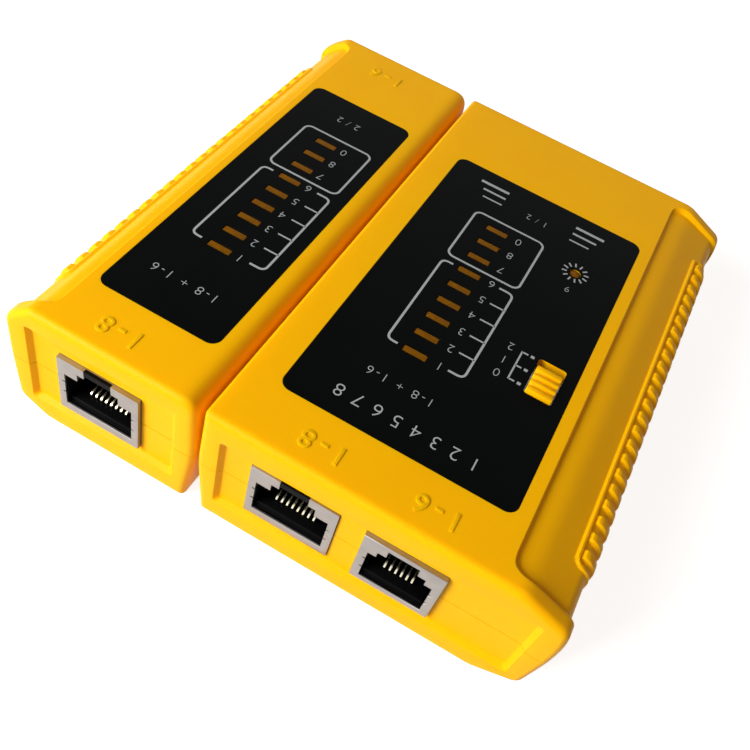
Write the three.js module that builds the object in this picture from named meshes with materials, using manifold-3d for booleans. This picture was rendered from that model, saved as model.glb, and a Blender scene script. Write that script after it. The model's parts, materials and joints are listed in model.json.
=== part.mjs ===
// A two-piece network cable tester: a wide master unit and a narrow remote unit that docks beside it
// on a sliding rail. Millimetres, +Z up. The sockets of the master face -Y, the remote lies on the -X side,
// and the origin is the middle of the ground that both units stand on.
import * as THREE from "three";
import { mergeVertices } from "three/addons/utils/BufferGeometryUtils.js";
import Module from "manifold-3d";

const wasm = await Module();
wasm.setup();

// ---- Driving dimensions -------------------------------------------------------------------------------

const LENGTH = 109; // both cases, along Y
const HEIGHT = 28; // ground to the flat top
const MASTER_WIDTH = 64.4;
const REMOTE_WIDTH = 37.2;
const DOCK_GAP = 0.4; // air between the docked units
const WALL = 2; // case wall
const CLEAR = 0.3; // running and fitting clearance
const END_ROUND = 1.2; // rounding around both ends of a case
const BUMPER = 3; // full-width stretch of case at each end, before the grip starts

const SOCKET_HEIGHT = 13.4;
const SOCKET_DEPTH = 18;
const SOCKET_SHEET = 0.4; // thickness of the socket's metal shield
const WIDE_SOCKET = 16; // eight-way socket
const NARROW_SOCKET = 14.4; // six-way socket
const CONTACT_PITCH = 1.02;
const CONTACT_WIDTH = 0.42;

const LABEL_THICK = 0.3;
const LABEL_ROUND = 2;
const LED_PITCH = 4.84;
const LED_LONG = 4.3;
const LED_SHORT = 1.3;
const LED_COUNT = 8;

const BOARD_THICK = 1.6;
const BOARD_DROP = 3.6; // board's top face below the ceiling of the case
const RIB_PITCH = 3.6;
const RIB_WIDTH = 1.9;
const RIB_HEIGHT = 0.5;

const BATTERY = { width: 26.5, length: 48.5, height: 17.5, snap: 2.7 };
const SCREW = { shaft: 1.2, head: 2.5, headHeight: 2, headInset: 1, boss: 3.2 };
const RAIL = { neck: 4, head: 8, headThick: 1.7, lip: 1.6, length: 70, start: 24.8 };
const KNOB = { width: 4.9, length: 6.4, proud: 0.8, travel: 2.4 };

// ---- Places that follow from them ---------------------------------------------------------------------

const HALF_LENGTH = LENGTH / 2;
const SEAM = HEIGHT / 2; // where the top and bottom shells meet
const TOTAL_WIDTH = MASTER_WIDTH + REMOTE_WIDTH + DOCK_GAP;
const CEILING = HEIGHT - WALL;
const BOARD_TOP = CEILING - BOARD_DROP;
const BOARD_BOTTOM = BOARD_TOP - BOARD_THICK;
const SOCKET_TOP = BOARD_BOTTOM - CLEAR;
const SOCKET_BOTTOM = SOCKET_TOP - SOCKET_HEIGHT;
const PANEL_DEPTH = 1; // how far the end panels lie behind the lip around them
const PANEL_Y = HALF_LENGTH - PANEL_DEPTH;
const INSIDE_Y = PANEL_Y - WALL;
const LABEL_FLOOR = HEIGHT - LABEL_THICK;
const LED_TOP = LABEL_FLOOR - CLEAR;

// Each unit is laid out from its own docking side: u runs from there to the outer, gripped side.
const master = {
  name: "master",
  seamX: TOTAL_WIDTH / 2 - MASTER_WIDTH,
  outward: 1,
  width: MASTER_WIDTH,
  topChamfer: [9.4, 0.6, 4, 8],
  bottomChamfer: [9.4, 1.2, 3.5],
  crease: 13.1,
  gripRecess: 2.1,
  dockRound: 1.6,
  panelTop: 5,
  label: { inset: 6.8, width: 42.1, front: 11.5, length: LENGTH - 33.9 },
  ledU: 22.17,
  ledFront: 31.2,
};
const remote = {
  name: "remote",
  seamX: TOTAL_WIDTH / 2 - MASTER_WIDTH - DOCK_GAP,
  outward: -1,
  width: REMOTE_WIDTH,
  topChamfer: [5.2, 2.2, 2.2, 4.6],
  bottomChamfer: [6.6, 0.8, 3.2],
  crease: 7.7,
  gripRecess: 1.9,
  dockRound: 3,
  panelTop: 4,
  label: { inset: 4.72, width: 23.3, front: 11.8, length: LENGTH - 34.5 },
  ledU: 16.8,
  ledFront: 31.2,
};
const xAt = (unit, u) => unit.seamX + unit.outward * u;

// ---- Solids from three.js shapes ----------------------------------------------------------------------

// A closed three.js geometry as a solid that can be joined and cut.
function solid(geometry) {
  const bare = geometry.clone();
  bare.deleteAttribute("normal");
  bare.deleteAttribute("uv");
  const merged = mergeVertices(bare, 1e-4);
  return new wasm.Manifold(new wasm.Mesh({
    numProp: 3,
    vertProperties: new Float32Array(merged.getAttribute("position").array),
    triVerts: new Uint32Array(merged.index.array),
  }));
}

function box(x0, x1, y0, y1, z0, z1) {
  const low = [Math.min(x0, x1), Math.min(y0, y1), Math.min(z0, z1)];
  const high = [Math.max(x0, x1), Math.max(y0, y1), Math.max(z0, z1)];
  const size = high.map((value, i) => value - low[i]);
  const geometry = new THREE.BoxGeometry(...size);
  geometry.translate(...low.map((value, i) => value + size[i] / 2));
  return solid(geometry);
}

function post(x, y, z0, z1, radius, sides = 20) {
  const geometry = new THREE.CylinderGeometry(radius, radius, z1 - z0, sides);
  geometry.rotateX(Math.PI / 2);
  geometry.translate(x, y, (z0 + z1) / 2);
  return solid(geometry);
}

// An outline in X and Z carried along Y, with its ends rounded or chamfered where asked.
const STAND_UP = new THREE.Matrix4().set(1, 0, 0, 0, 0, 0, -1, 0, 0, 1, 0, 0, 0, 0, 0, 1);
function alongY(points, y0, y1, round = 0, steps = 2) {
  const shape = new THREE.Shape(points.map(([x, z]) => new THREE.Vector2(x, z)));
  const geometry = new THREE.ExtrudeGeometry(shape, {
    depth: y1 - y0 - 2 * round,
    bevelEnabled: round > 0,
    bevelThickness: round,
    bevelSize: round,
    bevelOffset: -round,
    bevelSegments: steps,
    curveSegments: 6,
  });
  geometry.applyMatrix4(STAND_UP);
  geometry.translate(0, y1 - round, 0);
  return solid(geometry);
}

// A rectangle with round corners.
function roundedRectangle(x0, x1, y0, y1, radius) {
  const [left, right] = [Math.min(x0, x1), Math.max(x0, x1)];
  const shape = new THREE.Shape();
  shape.moveTo(left + radius, y0);
  shape.lineTo(right - radius, y0);
  shape.absarc(right - radius, y0 + radius, radius, -Math.PI / 2, 0, false);
  shape.lineTo(right, y1 - radius);
  shape.absarc(right - radius, y1 - radius, radius, 0, Math.PI / 2, false);
  shape.lineTo(left + radius, y1);
  shape.absarc(left + radius, y1 - radius, radius, Math.PI / 2, Math.PI, false);
  shape.lineTo(left, y0 + radius);
  shape.absarc(left + radius, y0 + radius, radius, Math.PI, 1.5 * Math.PI, false);
  return shape;
}

function upright(shape, z0, z1, curveSegments = 5) {
  const geometry = new THREE.ExtrudeGeometry(shape, { depth: z1 - z0, bevelEnabled: false, curveSegments });
  geometry.translate(0, 0, z0);
  return solid(geometry);
}

const joined = (solids) => solids.reduce((sum, next) => sum.add(next));

// ---- Materials ----------------------------------------------------------------------------------------

const finish = {
  case: () => new THREE.MeshStandardMaterial({ color: 0xf5b200, roughness: 0.45 }),
  label: () => new THREE.MeshStandardMaterial({ color: 0x070707, roughness: 0.4 }),
  shield: () => new THREE.MeshStandardMaterial({ color: 0xb9b6ae, roughness: 0.3, metalness: 1 }),
  socket: () => new THREE.MeshStandardMaterial({ color: 0x101010, roughness: 0.5 }),
  contact: () => new THREE.MeshStandardMaterial({ color: 0xd9c48a, roughness: 0.25, metalness: 1 }),
  lens: () => new THREE.MeshStandardMaterial({ color: 0xa0640c, roughness: 0.3 }),
  board: () => new THREE.MeshStandardMaterial({ color: 0x1d5c34, roughness: 0.5 }),
  steel: () => new THREE.MeshStandardMaterial({ color: 0x9a9a9a, roughness: 0.35, metalness: 1 }),
  chip: () => new THREE.MeshStandardMaterial({ color: 0x18181a, roughness: 0.6 }),
  battery: () => new THREE.MeshStandardMaterial({ color: 0x35393d, roughness: 0.35, metalness: 0.6 }),
  red: () => new THREE.MeshStandardMaterial({ color: 0xb01818, roughness: 0.5 }),
  black: () => new THREE.MeshStandardMaterial({ color: 0x141414, roughness: 0.5 }),
};

const tester = new THREE.Group();
function place(name, body, material) {
  const mesh = body.getMesh();
  const geometry = new THREE.BufferGeometry();
  geometry.setAttribute("position", new THREE.BufferAttribute(mesh.vertProperties, 3));
  geometry.setIndex(new THREE.BufferAttribute(mesh.triVerts, 1));
  geometry.computeVertexNormals();
  const piece = new THREE.Mesh(geometry, material);
  piece.name = name;
  tester.add(piece);
}

// ---- Case outlines, in u and Z ------------------------------------------------------------------------

// The full outline that shows at both ends of a case.
function bumperOutline(unit) {
  const w = unit.width;
  const [topIn, edgeIn, edgeDrop, sideDrop] = unit.topChamfer;
  const [footIn, footSide, footRise] = unit.bottomChamfer;
  const r = unit.dockRound;
  return [
    [1.8, 0],
    [0.8, 1.4],
    [0, SEAM],
    [0.5, HEIGHT - r],
    [0.5 + 0.3 * r, HEIGHT - 0.3 * r],
    [0.5 + r, HEIGHT],
    [w - topIn, HEIGHT],
    [w - edgeIn, HEIGHT - edgeDrop],
    [w, HEIGHT - sideDrop],
    [w - 0.1, SEAM],
    [w - footSide, footRise + 0.8],
    [w - footSide - 0.6, footRise - 0.4],
    [w - footIn + 1.2, 0.4],
    [w - footIn, 0],
  ];
}

// The slimmer outline between the bumpers, where the hand holds the case.
function gripOutline(unit, grow = 0) {
  const w = unit.width - unit.gripRecess + grow;
  const crease = unit.width - unit.crease;
  const run = w - crease;
  const footRise = unit.bottomChamfer[2] + 0.6;
  return [
    [crease - 4, -5],
    [crease - 4, HEIGHT - 0.7 + grow],
    [crease + 0.25 * run, HEIGHT - 1.1 + grow],
    [w - 0.8, HEIGHT - 4.3 + grow],
    [w, HEIGHT - 5.4 + grow],
    [w, SEAM],
    [w - 0.6, footRise],
    [w - 0.55 * run, 0.5 - grow],
    [w - 0.7 * run, 0],
    [w - 0.7 * run, -5],
  ];
}

// The hollow inside both shells.
function cavityOutline(unit) {
  const w = unit.width - unit.gripRecess - WALL;
  const crease = unit.width - unit.crease;
  const footRise = unit.bottomChamfer[2] + 0.6;
  return [
    [WALL + 0.8, WALL],
    [WALL, SEAM],
    [WALL + 0.8, CEILING],
    [crease - 0.6, CEILING],
    [crease + 0.25 * (w - crease), HEIGHT - 1.3 - WALL],
    [w, HEIGHT - 5.8 - 0.5 * WALL],
    [w, SEAM],
    [w - 0.6, footRise + 0.6 * WALL],
    [w - 0.5 * (w - crease) - 1, WALL],
  ];
}

const toRow = (unit, outline) => outline.map(([u, z]) => [xAt(unit, u), z]);

// ---- Case ---------------------------------------------------------------------------------------------

// The gripped side: everything outside the grip outline is cut away between the bumpers.
function gripCut(unit) {
  const reach = HALF_LENGTH - BUMPER;
  const inner = xAt(unit, unit.width - unit.crease);
  const outer = xAt(unit, unit.width + 10);
  const zone = upright(roundedRectangle(inner, outer, -reach, reach, 3.6), -5, HEIGHT + 5);
  return zone.subtract(alongY(toRow(unit, gripOutline(unit)), -reach - 1, reach + 1));
}

// Raised ribs that wrap from the shoulder round the side of the grip.
function gripRibs(unit) {
  const inner = xAt(unit, unit.width - unit.gripRecess - 3.2);
  const outer = xAt(unit, unit.width + 10);
  const usable = LENGTH - 2 * BUMPER - 20;
  const count = Math.floor(usable / RIB_PITCH);
  const low = unit.bottomChamfer[2] + 1.2;
  const ribs = [];
  for (let i = 0; i < count; i += 1) {
    const y = (i - (count - 1) / 2) * RIB_PITCH - 0.7;
    const [y0, y1] = [y - RIB_WIDTH / 2, y + RIB_WIDTH / 2];
    const stroke = alongY(toRow(unit, gripOutline(unit, RIB_HEIGHT)), y0, y1);
    ribs.push(stroke.intersect(box(inner, outer, y0, y1, low, HEIGHT)));
  }
  return ribs;
}

// The shallow panel at an end of a case, with sloping sides.
function endPanel(unit, side) {
  const [inset, low] = [3.9, 5];
  const slope = 0.8;
  const outline = [
    [inset + slope, low + slope],
    [inset + slope, HEIGHT - unit.panelTop - slope],
    [unit.width - inset - slope - 0.3, HEIGHT - unit.panelTop - slope],
    [unit.width - inset - slope - 0.3, low + slope],
  ];
  const shape = new THREE.Shape(toRow(unit, outline).map(([x, z]) => new THREE.Vector2(x, z)));
  const geometry = new THREE.ExtrudeGeometry(shape, {
    depth: 2,
    bevelThickness: PANEL_DEPTH,
    bevelSize: slope,
    bevelSegments: 1,
  });
  geometry.applyMatrix4(STAND_UP);
  geometry.translate(0, side < 0 ? -PANEL_Y - PANEL_DEPTH : PANEL_Y + PANEL_DEPTH + 2, 0);
  return solid(geometry);
}

// Screws stand behind the sockets and beside the battery.
const screwPlaces = {
  master: [[8.9, -HALF_LENGTH + 23.5], [51.4, -HALF_LENGTH + 8.5], [8.9, HALF_LENGTH - 8.5], [51.4, HALF_LENGTH - 8.5]]
    .map(([u, y]) => [xAt(master, u), y]),
  remote: [[18.8, -HALF_LENGTH + 24], [18.8, HALF_LENGTH - 24]].map(([u, y]) => [xAt(remote, u), y]),
};
const restPlaces = {
  master: [[9.4, -20], [53.4, -20], [9.4, 30], [53.4, 30]].map(([u, y]) => [xAt(master, u), y]),
  remote: [[8, -8], [30, -8], [8, 20], [30, 20]].map(([u, y]) => [xAt(remote, u), y]),
};

// One whole case, hollow, before it is parted along the seam.
function hollowCase(unit) {
  const outside = alongY(toRow(unit, bumperOutline(unit)), -HALF_LENGTH, HALF_LENGTH, END_ROUND)
    .subtract(gripCut(unit))
    .add(joined(gripRibs(unit)));
  const inside = alongY(toRow(unit, cavityOutline(unit)), -INSIDE_Y, INSIDE_Y);
  const bosses = screwPlaces[unit.name].map(([x, y]) => post(x, y, WALL - 1, CEILING + 1, SCREW.boss));
  const rests = restPlaces[unit.name].map(([x, y]) => post(x, y, BOARD_TOP, CEILING + 0.4, 1.6, 12));
  const bores = screwPlaces[unit.name].flatMap(([x, y]) => [
    post(x, y, -1, CEILING - 3, SCREW.shaft + CLEAR, 16),
    post(x, y, -1, SCREW.headInset + SCREW.headHeight, SCREW.head + CLEAR, 20),
  ]);
  return outside.subtract(inside)
    .add(joined([...bosses, ...rests]))
    .subtract(endPanel(unit, -1))
    .subtract(endPanel(unit, 1))
    .subtract(joined(bores));
}

const halfOf = (body, side) => body.intersect(
  side > 0 ? box(-200, 200, -200, 200, SEAM, 200) : box(-200, 200, -200, 200, -10, SEAM),
);

// ---- Docking rail -------------------------------------------------------------------------------------

const railFront = -HALF_LENGTH + RAIL.start;

// A T-shaped rail on the remote's docking side.
function dockRail() {
  const neckStart = remote.seamX - 0.6;
  const headBack = master.seamX + RAIL.lip + CLEAR;
  const neck = box(neckStart, headBack + 0.5, railFront, railFront + RAIL.length, SEAM - RAIL.neck / 2, SEAM + RAIL.neck / 2);
  const head = box(headBack, headBack + RAIL.headThick, railFront, railFront + RAIL.length,
    SEAM - RAIL.head / 2, SEAM + RAIL.head / 2);
  return neck.add(head);
}

// The block inside the master's wall that the channel is sunk into.
function channelBlock() {
  const depth = RAIL.lip + RAIL.headThick + 2 * CLEAR + 1.5;
  const reach = RAIL.head / 2 + CLEAR + 1.5;
  return box(master.seamX + 1, master.seamX + depth, -INSIDE_Y - 0.5, INSIDE_Y + 0.5, SEAM - reach, SEAM + reach);
}

// The channel is open at the back, so that the remote slides off towards +Y, and closed at the front.
function dockChannel() {
  const front = railFront - CLEAR;
  const slot = RAIL.neck / 2 + CLEAR;
  const room = RAIL.head / 2 + CLEAR;
  const lip = master.seamX + RAIL.lip;
  return box(master.seamX - 5, lip + 0.5, front, HALF_LENGTH + 5, SEAM - slot, SEAM + slot)
    .add(box(lip, lip + RAIL.headThick + 2 * CLEAR, front, HALF_LENGTH + 5, SEAM - room, SEAM + room));
}

// ---- Battery bay and its door -------------------------------------------------------------------------

const battery = {
  x: xAt(master, 31.4),
  back: HALF_LENGTH - 14,
  low: WALL + CLEAR,
};
battery.front = battery.back - BATTERY.length;
const door = {
  front: battery.front - 6,
  back: HALF_LENGTH - END_ROUND,
  halfFoot: BATTERY.width / 2 + 0.95,
  halfTop: BATTERY.width / 2 + 1.95,
};

// The door's section is wider inside than outside, so its tapered edges hold it as it slides.
function doorSection(grow, top) {
  return [
    [battery.x - door.halfFoot - grow, grow > 0 ? -1 : 0],
    [battery.x + door.halfFoot + grow, grow > 0 ? -1 : 0],
    [battery.x + door.halfTop + grow, top],
    [battery.x - door.halfTop - grow, top],
  ];
}

const doorWay = () => alongY(doorSection(CLEAR, WALL + CLEAR), door.front - CLEAR, HALF_LENGTH + 5);

function batteryDoor() {
  let plate = alongY(doorSection(0, WALL), door.front, door.back);
  for (let i = 0; i < 6; i += 1) {
    const y = door.back - 6 - i * 2;
    plate = plate.subtract(box(battery.x - 7, battery.x + 7, y - 0.5, y + 0.5, -1, 0.5));
  }
  return plate;
}

// Walls on the floor of the case that keep the battery in its place.
function batteryBay() {
  const inner = door.halfTop + CLEAR + 0.2;
  const thick = 1.4;
  const [front, back] = [battery.front - CLEAR - thick, battery.back];
  const top = SEAM - 2;
  return joined([
    box(battery.x - inner - thick, battery.x - inner, front, back, WALL - 0.5, top),
    box(battery.x + inner, battery.x + inner + thick, front, back, WALL - 0.5, top),
    box(battery.x - inner - thick, battery.x + inner + thick, front, front + thick, WALL + CLEAR, top),
  ]);
}

// ---- Sockets ------------------------------------------------------------------------------------------

// An end wall is on the -Y side (facing -1) or the +Y side (facing 1); t runs inward from the shield's face.
const sockets = [
  { name: "master_rj45", unit: master, x: xAt(master, 17.62), width: WIDE_SOCKET, facing: -1, proud: 0.4, ways: 8 },
  { name: "master_rj11", unit: master, x: xAt(master, 37.6), width: NARROW_SOCKET, facing: -1, proud: 0.9, ways: 6 },
  { name: "remote_rj45", unit: remote, x: xAt(remote, 18.95), width: WIDE_SOCKET, facing: -1, proud: 0.9, ways: 8 },
  { name: "remote_rj11", unit: remote, x: xAt(remote, 18.04), width: NARROW_SOCKET, facing: 1, proud: 0.9, ways: 6 },
];

function alongT(socket, x0, x1, t0, t1, z0, z1) {
  const face = PANEL_Y + socket.proud;
  return box(x0, x1, socket.facing * (face - t0), socket.facing * (face - t1), z0, z1);
}

// The plug's opening: a wide part for its body, a step, and a slot for its latch above.
function plugOpening(socket, t0, t1) {
  const wide = socket.ways === 8;
  const low = SOCKET_BOTTOM + (wide ? 1.8 : 1.2);
  const body = wide ? 13.3 : 11.4;
  const step = wide ? 8.1 : 8.5;
  const latch = wide ? 5.3 : 5.5;
  const bodyTop = low + 7.9;
  const stepTop = bodyTop + (wide ? 1.7 : 1.4);
  const latchTop = wide ? SOCKET_TOP - SOCKET_SHEET - CLEAR : stepTop + 1.9;
  return joined([
    alongT(socket, socket.x - body / 2, socket.x + body / 2, t0, t1, low, bodyTop),
    alongT(socket, socket.x - step / 2, socket.x + step / 2, t0, t1, low, stepTop),
    alongT(socket, socket.x - latch / 2, socket.x + latch / 2, t0, t1, low, latchTop),
  ]);
}

// Two short cuts on each side of the opening free a spring tab that grips the plug's own shield.
function shieldCuts(socket) {
  const wide = socket.ways === 8;
  const low = SOCKET_BOTTOM + (wide ? 1.8 : 1.2);
  const edge = (wide ? 13.3 : 11.4) / 2;
  return [-1, 1].flatMap((side) => [3, 5.8].map((rise) => alongT(socket, socket.x + side * (edge - 0.2),
    socket.x + side * (edge + 0.5), -1, SOCKET_SHEET + 0.5, low + rise - 0.18, low + rise + 0.18)));
}

function socketShield(socket) {
  const half = socket.width / 2;
  const outer = alongT(socket, socket.x - half, socket.x + half, 0, SOCKET_DEPTH, SOCKET_BOTTOM, SOCKET_TOP);
  const inner = alongT(socket, socket.x - half + SOCKET_SHEET, socket.x + half - SOCKET_SHEET,
    SOCKET_SHEET, SOCKET_DEPTH + 1, SOCKET_BOTTOM + SOCKET_SHEET, SOCKET_TOP - SOCKET_SHEET);
  return outer.subtract(inner)
    .subtract(plugOpening(socket, -1, SOCKET_SHEET + 1))
    .subtract(joined(shieldCuts(socket)));
}

const cavityDepth = 12;
const comb = { front: 1, back: 4.3, rise: 1.1 }; // raised step in the floor of the opening, before the contacts
const contactSlope = { start: comb.back + CLEAR, end: 10.6, rise: 1.9, thick: 0.35, lift: 0.8 };

function socketHousing(socket) {
  const half = socket.width / 2 - SOCKET_SHEET - CLEAR;
  const inset = SOCKET_SHEET + CLEAR;
  const low = SOCKET_BOTTOM + (socket.ways === 8 ? 1.8 : 1.2);
  const block = alongT(socket, socket.x - half, socket.x + half, inset, SOCKET_DEPTH - 1,
    SOCKET_BOTTOM + inset, SOCKET_TOP - inset);
  const step = alongT(socket, socket.x - half + 1, socket.x + half - 1, comb.front, comb.back, low - 0.3,
    low + comb.rise);
  return block.subtract(plugOpening(socket, 0, cavityDepth)).add(step);
}

// Spring contacts slope up from behind the step and end in one carrier at the back.
function socketContacts(socket) {
  const { facing } = socket;
  const face = facing * (PANEL_Y + socket.proud);
  const floor = SOCKET_BOTTOM + (socket.ways === 8 ? 1.8 : 1.2) + contactSlope.lift;
  const { start, end, rise, thick } = contactSlope;
  const side = new THREE.Shape([[start, 0], [end, rise], [end, rise + thick], [start, thick]]
    .map(([t, z]) => new THREE.Vector2(t, z)));
  const wires = [];
  for (let i = 0; i < socket.ways; i += 1) {
    const x = socket.x + (i - (socket.ways - 1) / 2) * CONTACT_PITCH;
    const geometry = new THREE.ExtrudeGeometry(side, { depth: CONTACT_WIDTH, bevelEnabled: false });
    geometry.applyMatrix4(new THREE.Matrix4().set(0, 0, -facing, 0, -facing, 0, 0, 0, 0, 1, 0, 0, 0, 0, 0, 1));
    geometry.translate(x + (facing * CONTACT_WIDTH) / 2, face, floor);
    wires.push(solid(geometry));
  }
  const half = (socket.ways * CONTACT_PITCH) / 2;
  const carrier = alongT(socket, socket.x - half, socket.x + half, end - 0.3, cavityDepth - CLEAR,
    floor + 0.2, floor + rise + thick + 0.2);
  return joined([...wires, carrier]);
}

// The hole in the case that lets a socket through.
function socketHole(socket) {
  const half = socket.width / 2 + CLEAR;
  return alongT(socket, socket.x - half, socket.x + half, -3, 6, SOCKET_BOTTOM - CLEAR, SOCKET_TOP + CLEAR);
}

function addSockets() {
  for (const socket of sockets) {
    place(`${socket.name}_shield`, socketShield(socket), finish.shield());
    place(`${socket.name}_housing`, socketHousing(socket), finish.socket());
    place(`${socket.name}_contacts`, socketContacts(socket), finish.contact());
  }
}

// ---- Lamps and label ----------------------------------------------------------------------------------

// The lamps of a unit, front to back: one for each wire, and a last one for the shield.
function lamps(unit) {
  const found = [];
  for (let i = 0; i <= LED_COUNT; i += 1) {
    const name = i < LED_COUNT ? `${unit.name}_led_${i + 1}` : `${unit.name}_led_ground`;
    found.push({ name, x: xAt(unit, unit.ledU), y: -HALF_LENGTH + unit.ledFront + i * LED_PITCH });
  }
  return found;
}

const powerLamp = { x: xAt(master, 39.5), y: -HALF_LENGTH + 69.4, radius: 1.2 };

function lampBar(lamp, grow, z0, z1) {
  const [halfX, halfY] = [LED_LONG / 2 + grow, LED_SHORT / 2 + grow];
  return box(lamp.x - halfX, lamp.x + halfX, lamp.y - halfY, lamp.y + halfY, z0, z1);
}

// A round lamp with a flange and a domed end.
function powerLed() {
  const { radius } = powerLamp;
  const profile = [new THREE.Vector2(0, BOARD_TOP), new THREE.Vector2(radius + 0.35, BOARD_TOP)];
  profile.push(new THREE.Vector2(radius + 0.35, BOARD_TOP + 0.8), new THREE.Vector2(radius, BOARD_TOP + 0.8));
  for (let i = 0; i < 5; i += 1) {
    const turn = (i / 5) * (Math.PI / 2);
    profile.push(new THREE.Vector2(radius * Math.cos(turn), LED_TOP - radius + radius * Math.sin(turn)));
  }
  profile.push(new THREE.Vector2(0, LED_TOP));
  const geometry = new THREE.LatheGeometry(profile, 16);
  geometry.rotateX(Math.PI / 2);
  geometry.translate(powerLamp.x, powerLamp.y, 0);
  return solid(geometry);
}

function labelShape(unit, grow) {
  const { inset, width, front, length } = unit.label;
  const y0 = -HALF_LENGTH + front;
  return roundedRectangle(xAt(unit, inset) - unit.outward * grow, xAt(unit, inset + width) + unit.outward * grow,
    y0 - grow, y0 + length + grow, LABEL_ROUND);
}

function faceLabel(unit) {
  let sheet = upright(labelShape(unit, 0), LABEL_FLOOR, HEIGHT);
  for (const lamp of lamps(unit)) {
    sheet = sheet.subtract(lampBar(lamp, 0.2, LABEL_FLOOR - 1, HEIGHT + 1));
  }
  if (unit === master) {
    sheet = sheet.subtract(post(powerLamp.x, powerLamp.y, LABEL_FLOOR - 1, HEIGHT + 1, powerLamp.radius + 0.1))
      .subtract(knobWindow(LABEL_FLOOR - 1, HEIGHT + 1));
  }
  return sheet;
}

// Everything that the top shell is cut for: the label's seat, the lamps and the switch.
function topCuts(unit) {
  const cuts = [upright(labelShape(unit, 0.05), LABEL_FLOOR, HEIGHT + 2)];
  for (const lamp of lamps(unit)) cuts.push(lampBar(lamp, CLEAR, CEILING - 1, HEIGHT));
  if (unit === master) {
    cuts.push(post(powerLamp.x, powerLamp.y, CEILING - 1, HEIGHT, powerLamp.radius + CLEAR));
    cuts.push(knobWindow(CEILING - 1, HEIGHT));
  }
  return joined(cuts);
}

function addLamps(unit) {
  for (const lamp of lamps(unit)) place(lamp.name, lampBar(lamp, 0, BOARD_TOP, LED_TOP), finish.lens());
}

// ---- Slide switch -------------------------------------------------------------------------------------

const knob = { x: xAt(master, 43.85), front: -HALF_LENGTH + 35.3 };
knob.back = knob.front + KNOB.length;
knob.middle = (knob.front + knob.back) / 2;
const windowHalf = KNOB.width / 2 + CLEAR;
const SWITCH = { width: 8.6, length: 13, sheet: 0.4, base: 0.6, top: CEILING - CLEAR, post: 3 };

function knobWindow(z0, z1) {
  return box(knob.x - windowHalf, knob.x + windowHalf, knob.front - CLEAR, knob.back + KNOB.travel + CLEAR, z0, z1);
}

function switchFrame() {
  const centre = knob.middle + KNOB.travel / 2;
  const [halfX, halfY] = [SWITCH.width / 2, SWITCH.length / 2];
  const low = BOARD_TOP + SWITCH.base;
  const s = SWITCH.sheet;
  const half = SWITCH.post / 2;
  return box(knob.x - halfX, knob.x + halfX, centre - halfY, centre + halfY, low, SWITCH.top)
    .subtract(box(knob.x - halfX + s, knob.x + halfX - s, centre - halfY + s, centre + halfY - s, low - 1, SWITCH.top - s))
    .subtract(box(knob.x - half - CLEAR, knob.x + half + CLEAR, knob.middle - half - CLEAR,
      knob.middle + half + KNOB.travel + CLEAR, low, SWITCH.top + 1));
}

function switchBase() {
  const centre = knob.middle + KNOB.travel / 2;
  return box(knob.x - SWITCH.width / 2, knob.x + SWITCH.width / 2, centre - SWITCH.length / 2,
    centre + SWITCH.length / 2, BOARD_TOP, BOARD_TOP + SWITCH.base);
}

// The slider runs inside the frame, and its post carries the knob.
function switchSlider() {
  const half = SWITCH.post / 2;
  const low = BOARD_TOP + SWITCH.base + CLEAR;
  return box(knob.x - 2.8, knob.x + 2.8, knob.middle - 3, knob.middle + 3, low, SWITCH.top - SWITCH.sheet - CLEAR)
    .add(box(knob.x - half, knob.x + half, knob.middle - half, knob.middle + half, low, HEIGHT - 0.9));
}

function switchKnob() {
  const socket = SWITCH.post / 2 + CLEAR;
  const top = HEIGHT + KNOB.proud;
  let cap = box(knob.x - KNOB.width / 2, knob.x + KNOB.width / 2, knob.front, knob.back, CEILING, top)
    .subtract(box(knob.x - socket, knob.x + socket, knob.middle - socket, knob.middle + socket,
      CEILING - 1, HEIGHT - 0.9 + CLEAR));
  for (let i = 0; i < 3; i += 1) {
    const y = knob.middle + (i - 1) * 1.6;
    cap = cap.subtract(box(knob.x - 5, knob.x + 5, y - 0.4, y + 0.4, top - 0.6, top + 1));
  }
  return cap;
}

// ---- Board, battery, leads and screws -----------------------------------------------------------------

function circuitBoard(unit) {
  const u0 = unit === master ? 7 : WALL + 1.4;
  const u1 = unit.width - unit.gripRecess - WALL - (unit === master ? 3 : 2);
  let board = box(xAt(unit, u0), xAt(unit, u1), -INSIDE_Y + 1.5, INSIDE_Y - 1.5, BOARD_BOTTOM, BOARD_TOP);
  for (const [x, y] of screwPlaces[unit.name]) {
    board = board.subtract(post(x, y, BOARD_BOTTOM - 1, BOARD_TOP + 1, SCREW.boss + CLEAR, 24));
  }
  return board;
}

function batteryBlock() {
  const half = BATTERY.width / 2;
  const top = battery.low + BATTERY.height;
  const outline = roundedOutline(battery.x - half, battery.x + half, battery.low, top, 1.5);
  const middle = (battery.low + top) / 2;
  const snaps = [-6.4, 6.4].map((dx, i) => alongY(
    circleOutline(battery.x + dx, middle, i === 0 ? 2.9 : 3.7, 14), battery.back - 0.5, battery.back + BATTERY.snap));
  return joined([alongY(outline, battery.front, battery.back), ...snaps]);
}

function roundedOutline(x0, x1, z0, z1, radius) {
  return roundedRectangle(x0, x1, z0, z1, radius).getPoints(4).slice(0, -1).map((p) => [p.x, p.y]);
}

function circleOutline(x, z, radius, sides) {
  const turns = Array.from({ length: sides }, (_, i) => (2 * Math.PI * i) / sides);
  return turns.map((turn) => [x + radius * Math.cos(turn), z + radius * Math.sin(turn)]);
}

const snapPlate = { front: battery.back + BATTERY.snap + CLEAR, thick: 3.2 };

function batteryConnector() {
  const middle = battery.low + BATTERY.height / 2;
  const outline = roundedOutline(battery.x - 12.5, battery.x + 12.5, middle - 5.5, middle + 5.5, 2.5);
  return alongY(outline, snapPlate.front, snapPlate.front + snapPlate.thick);
}

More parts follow.
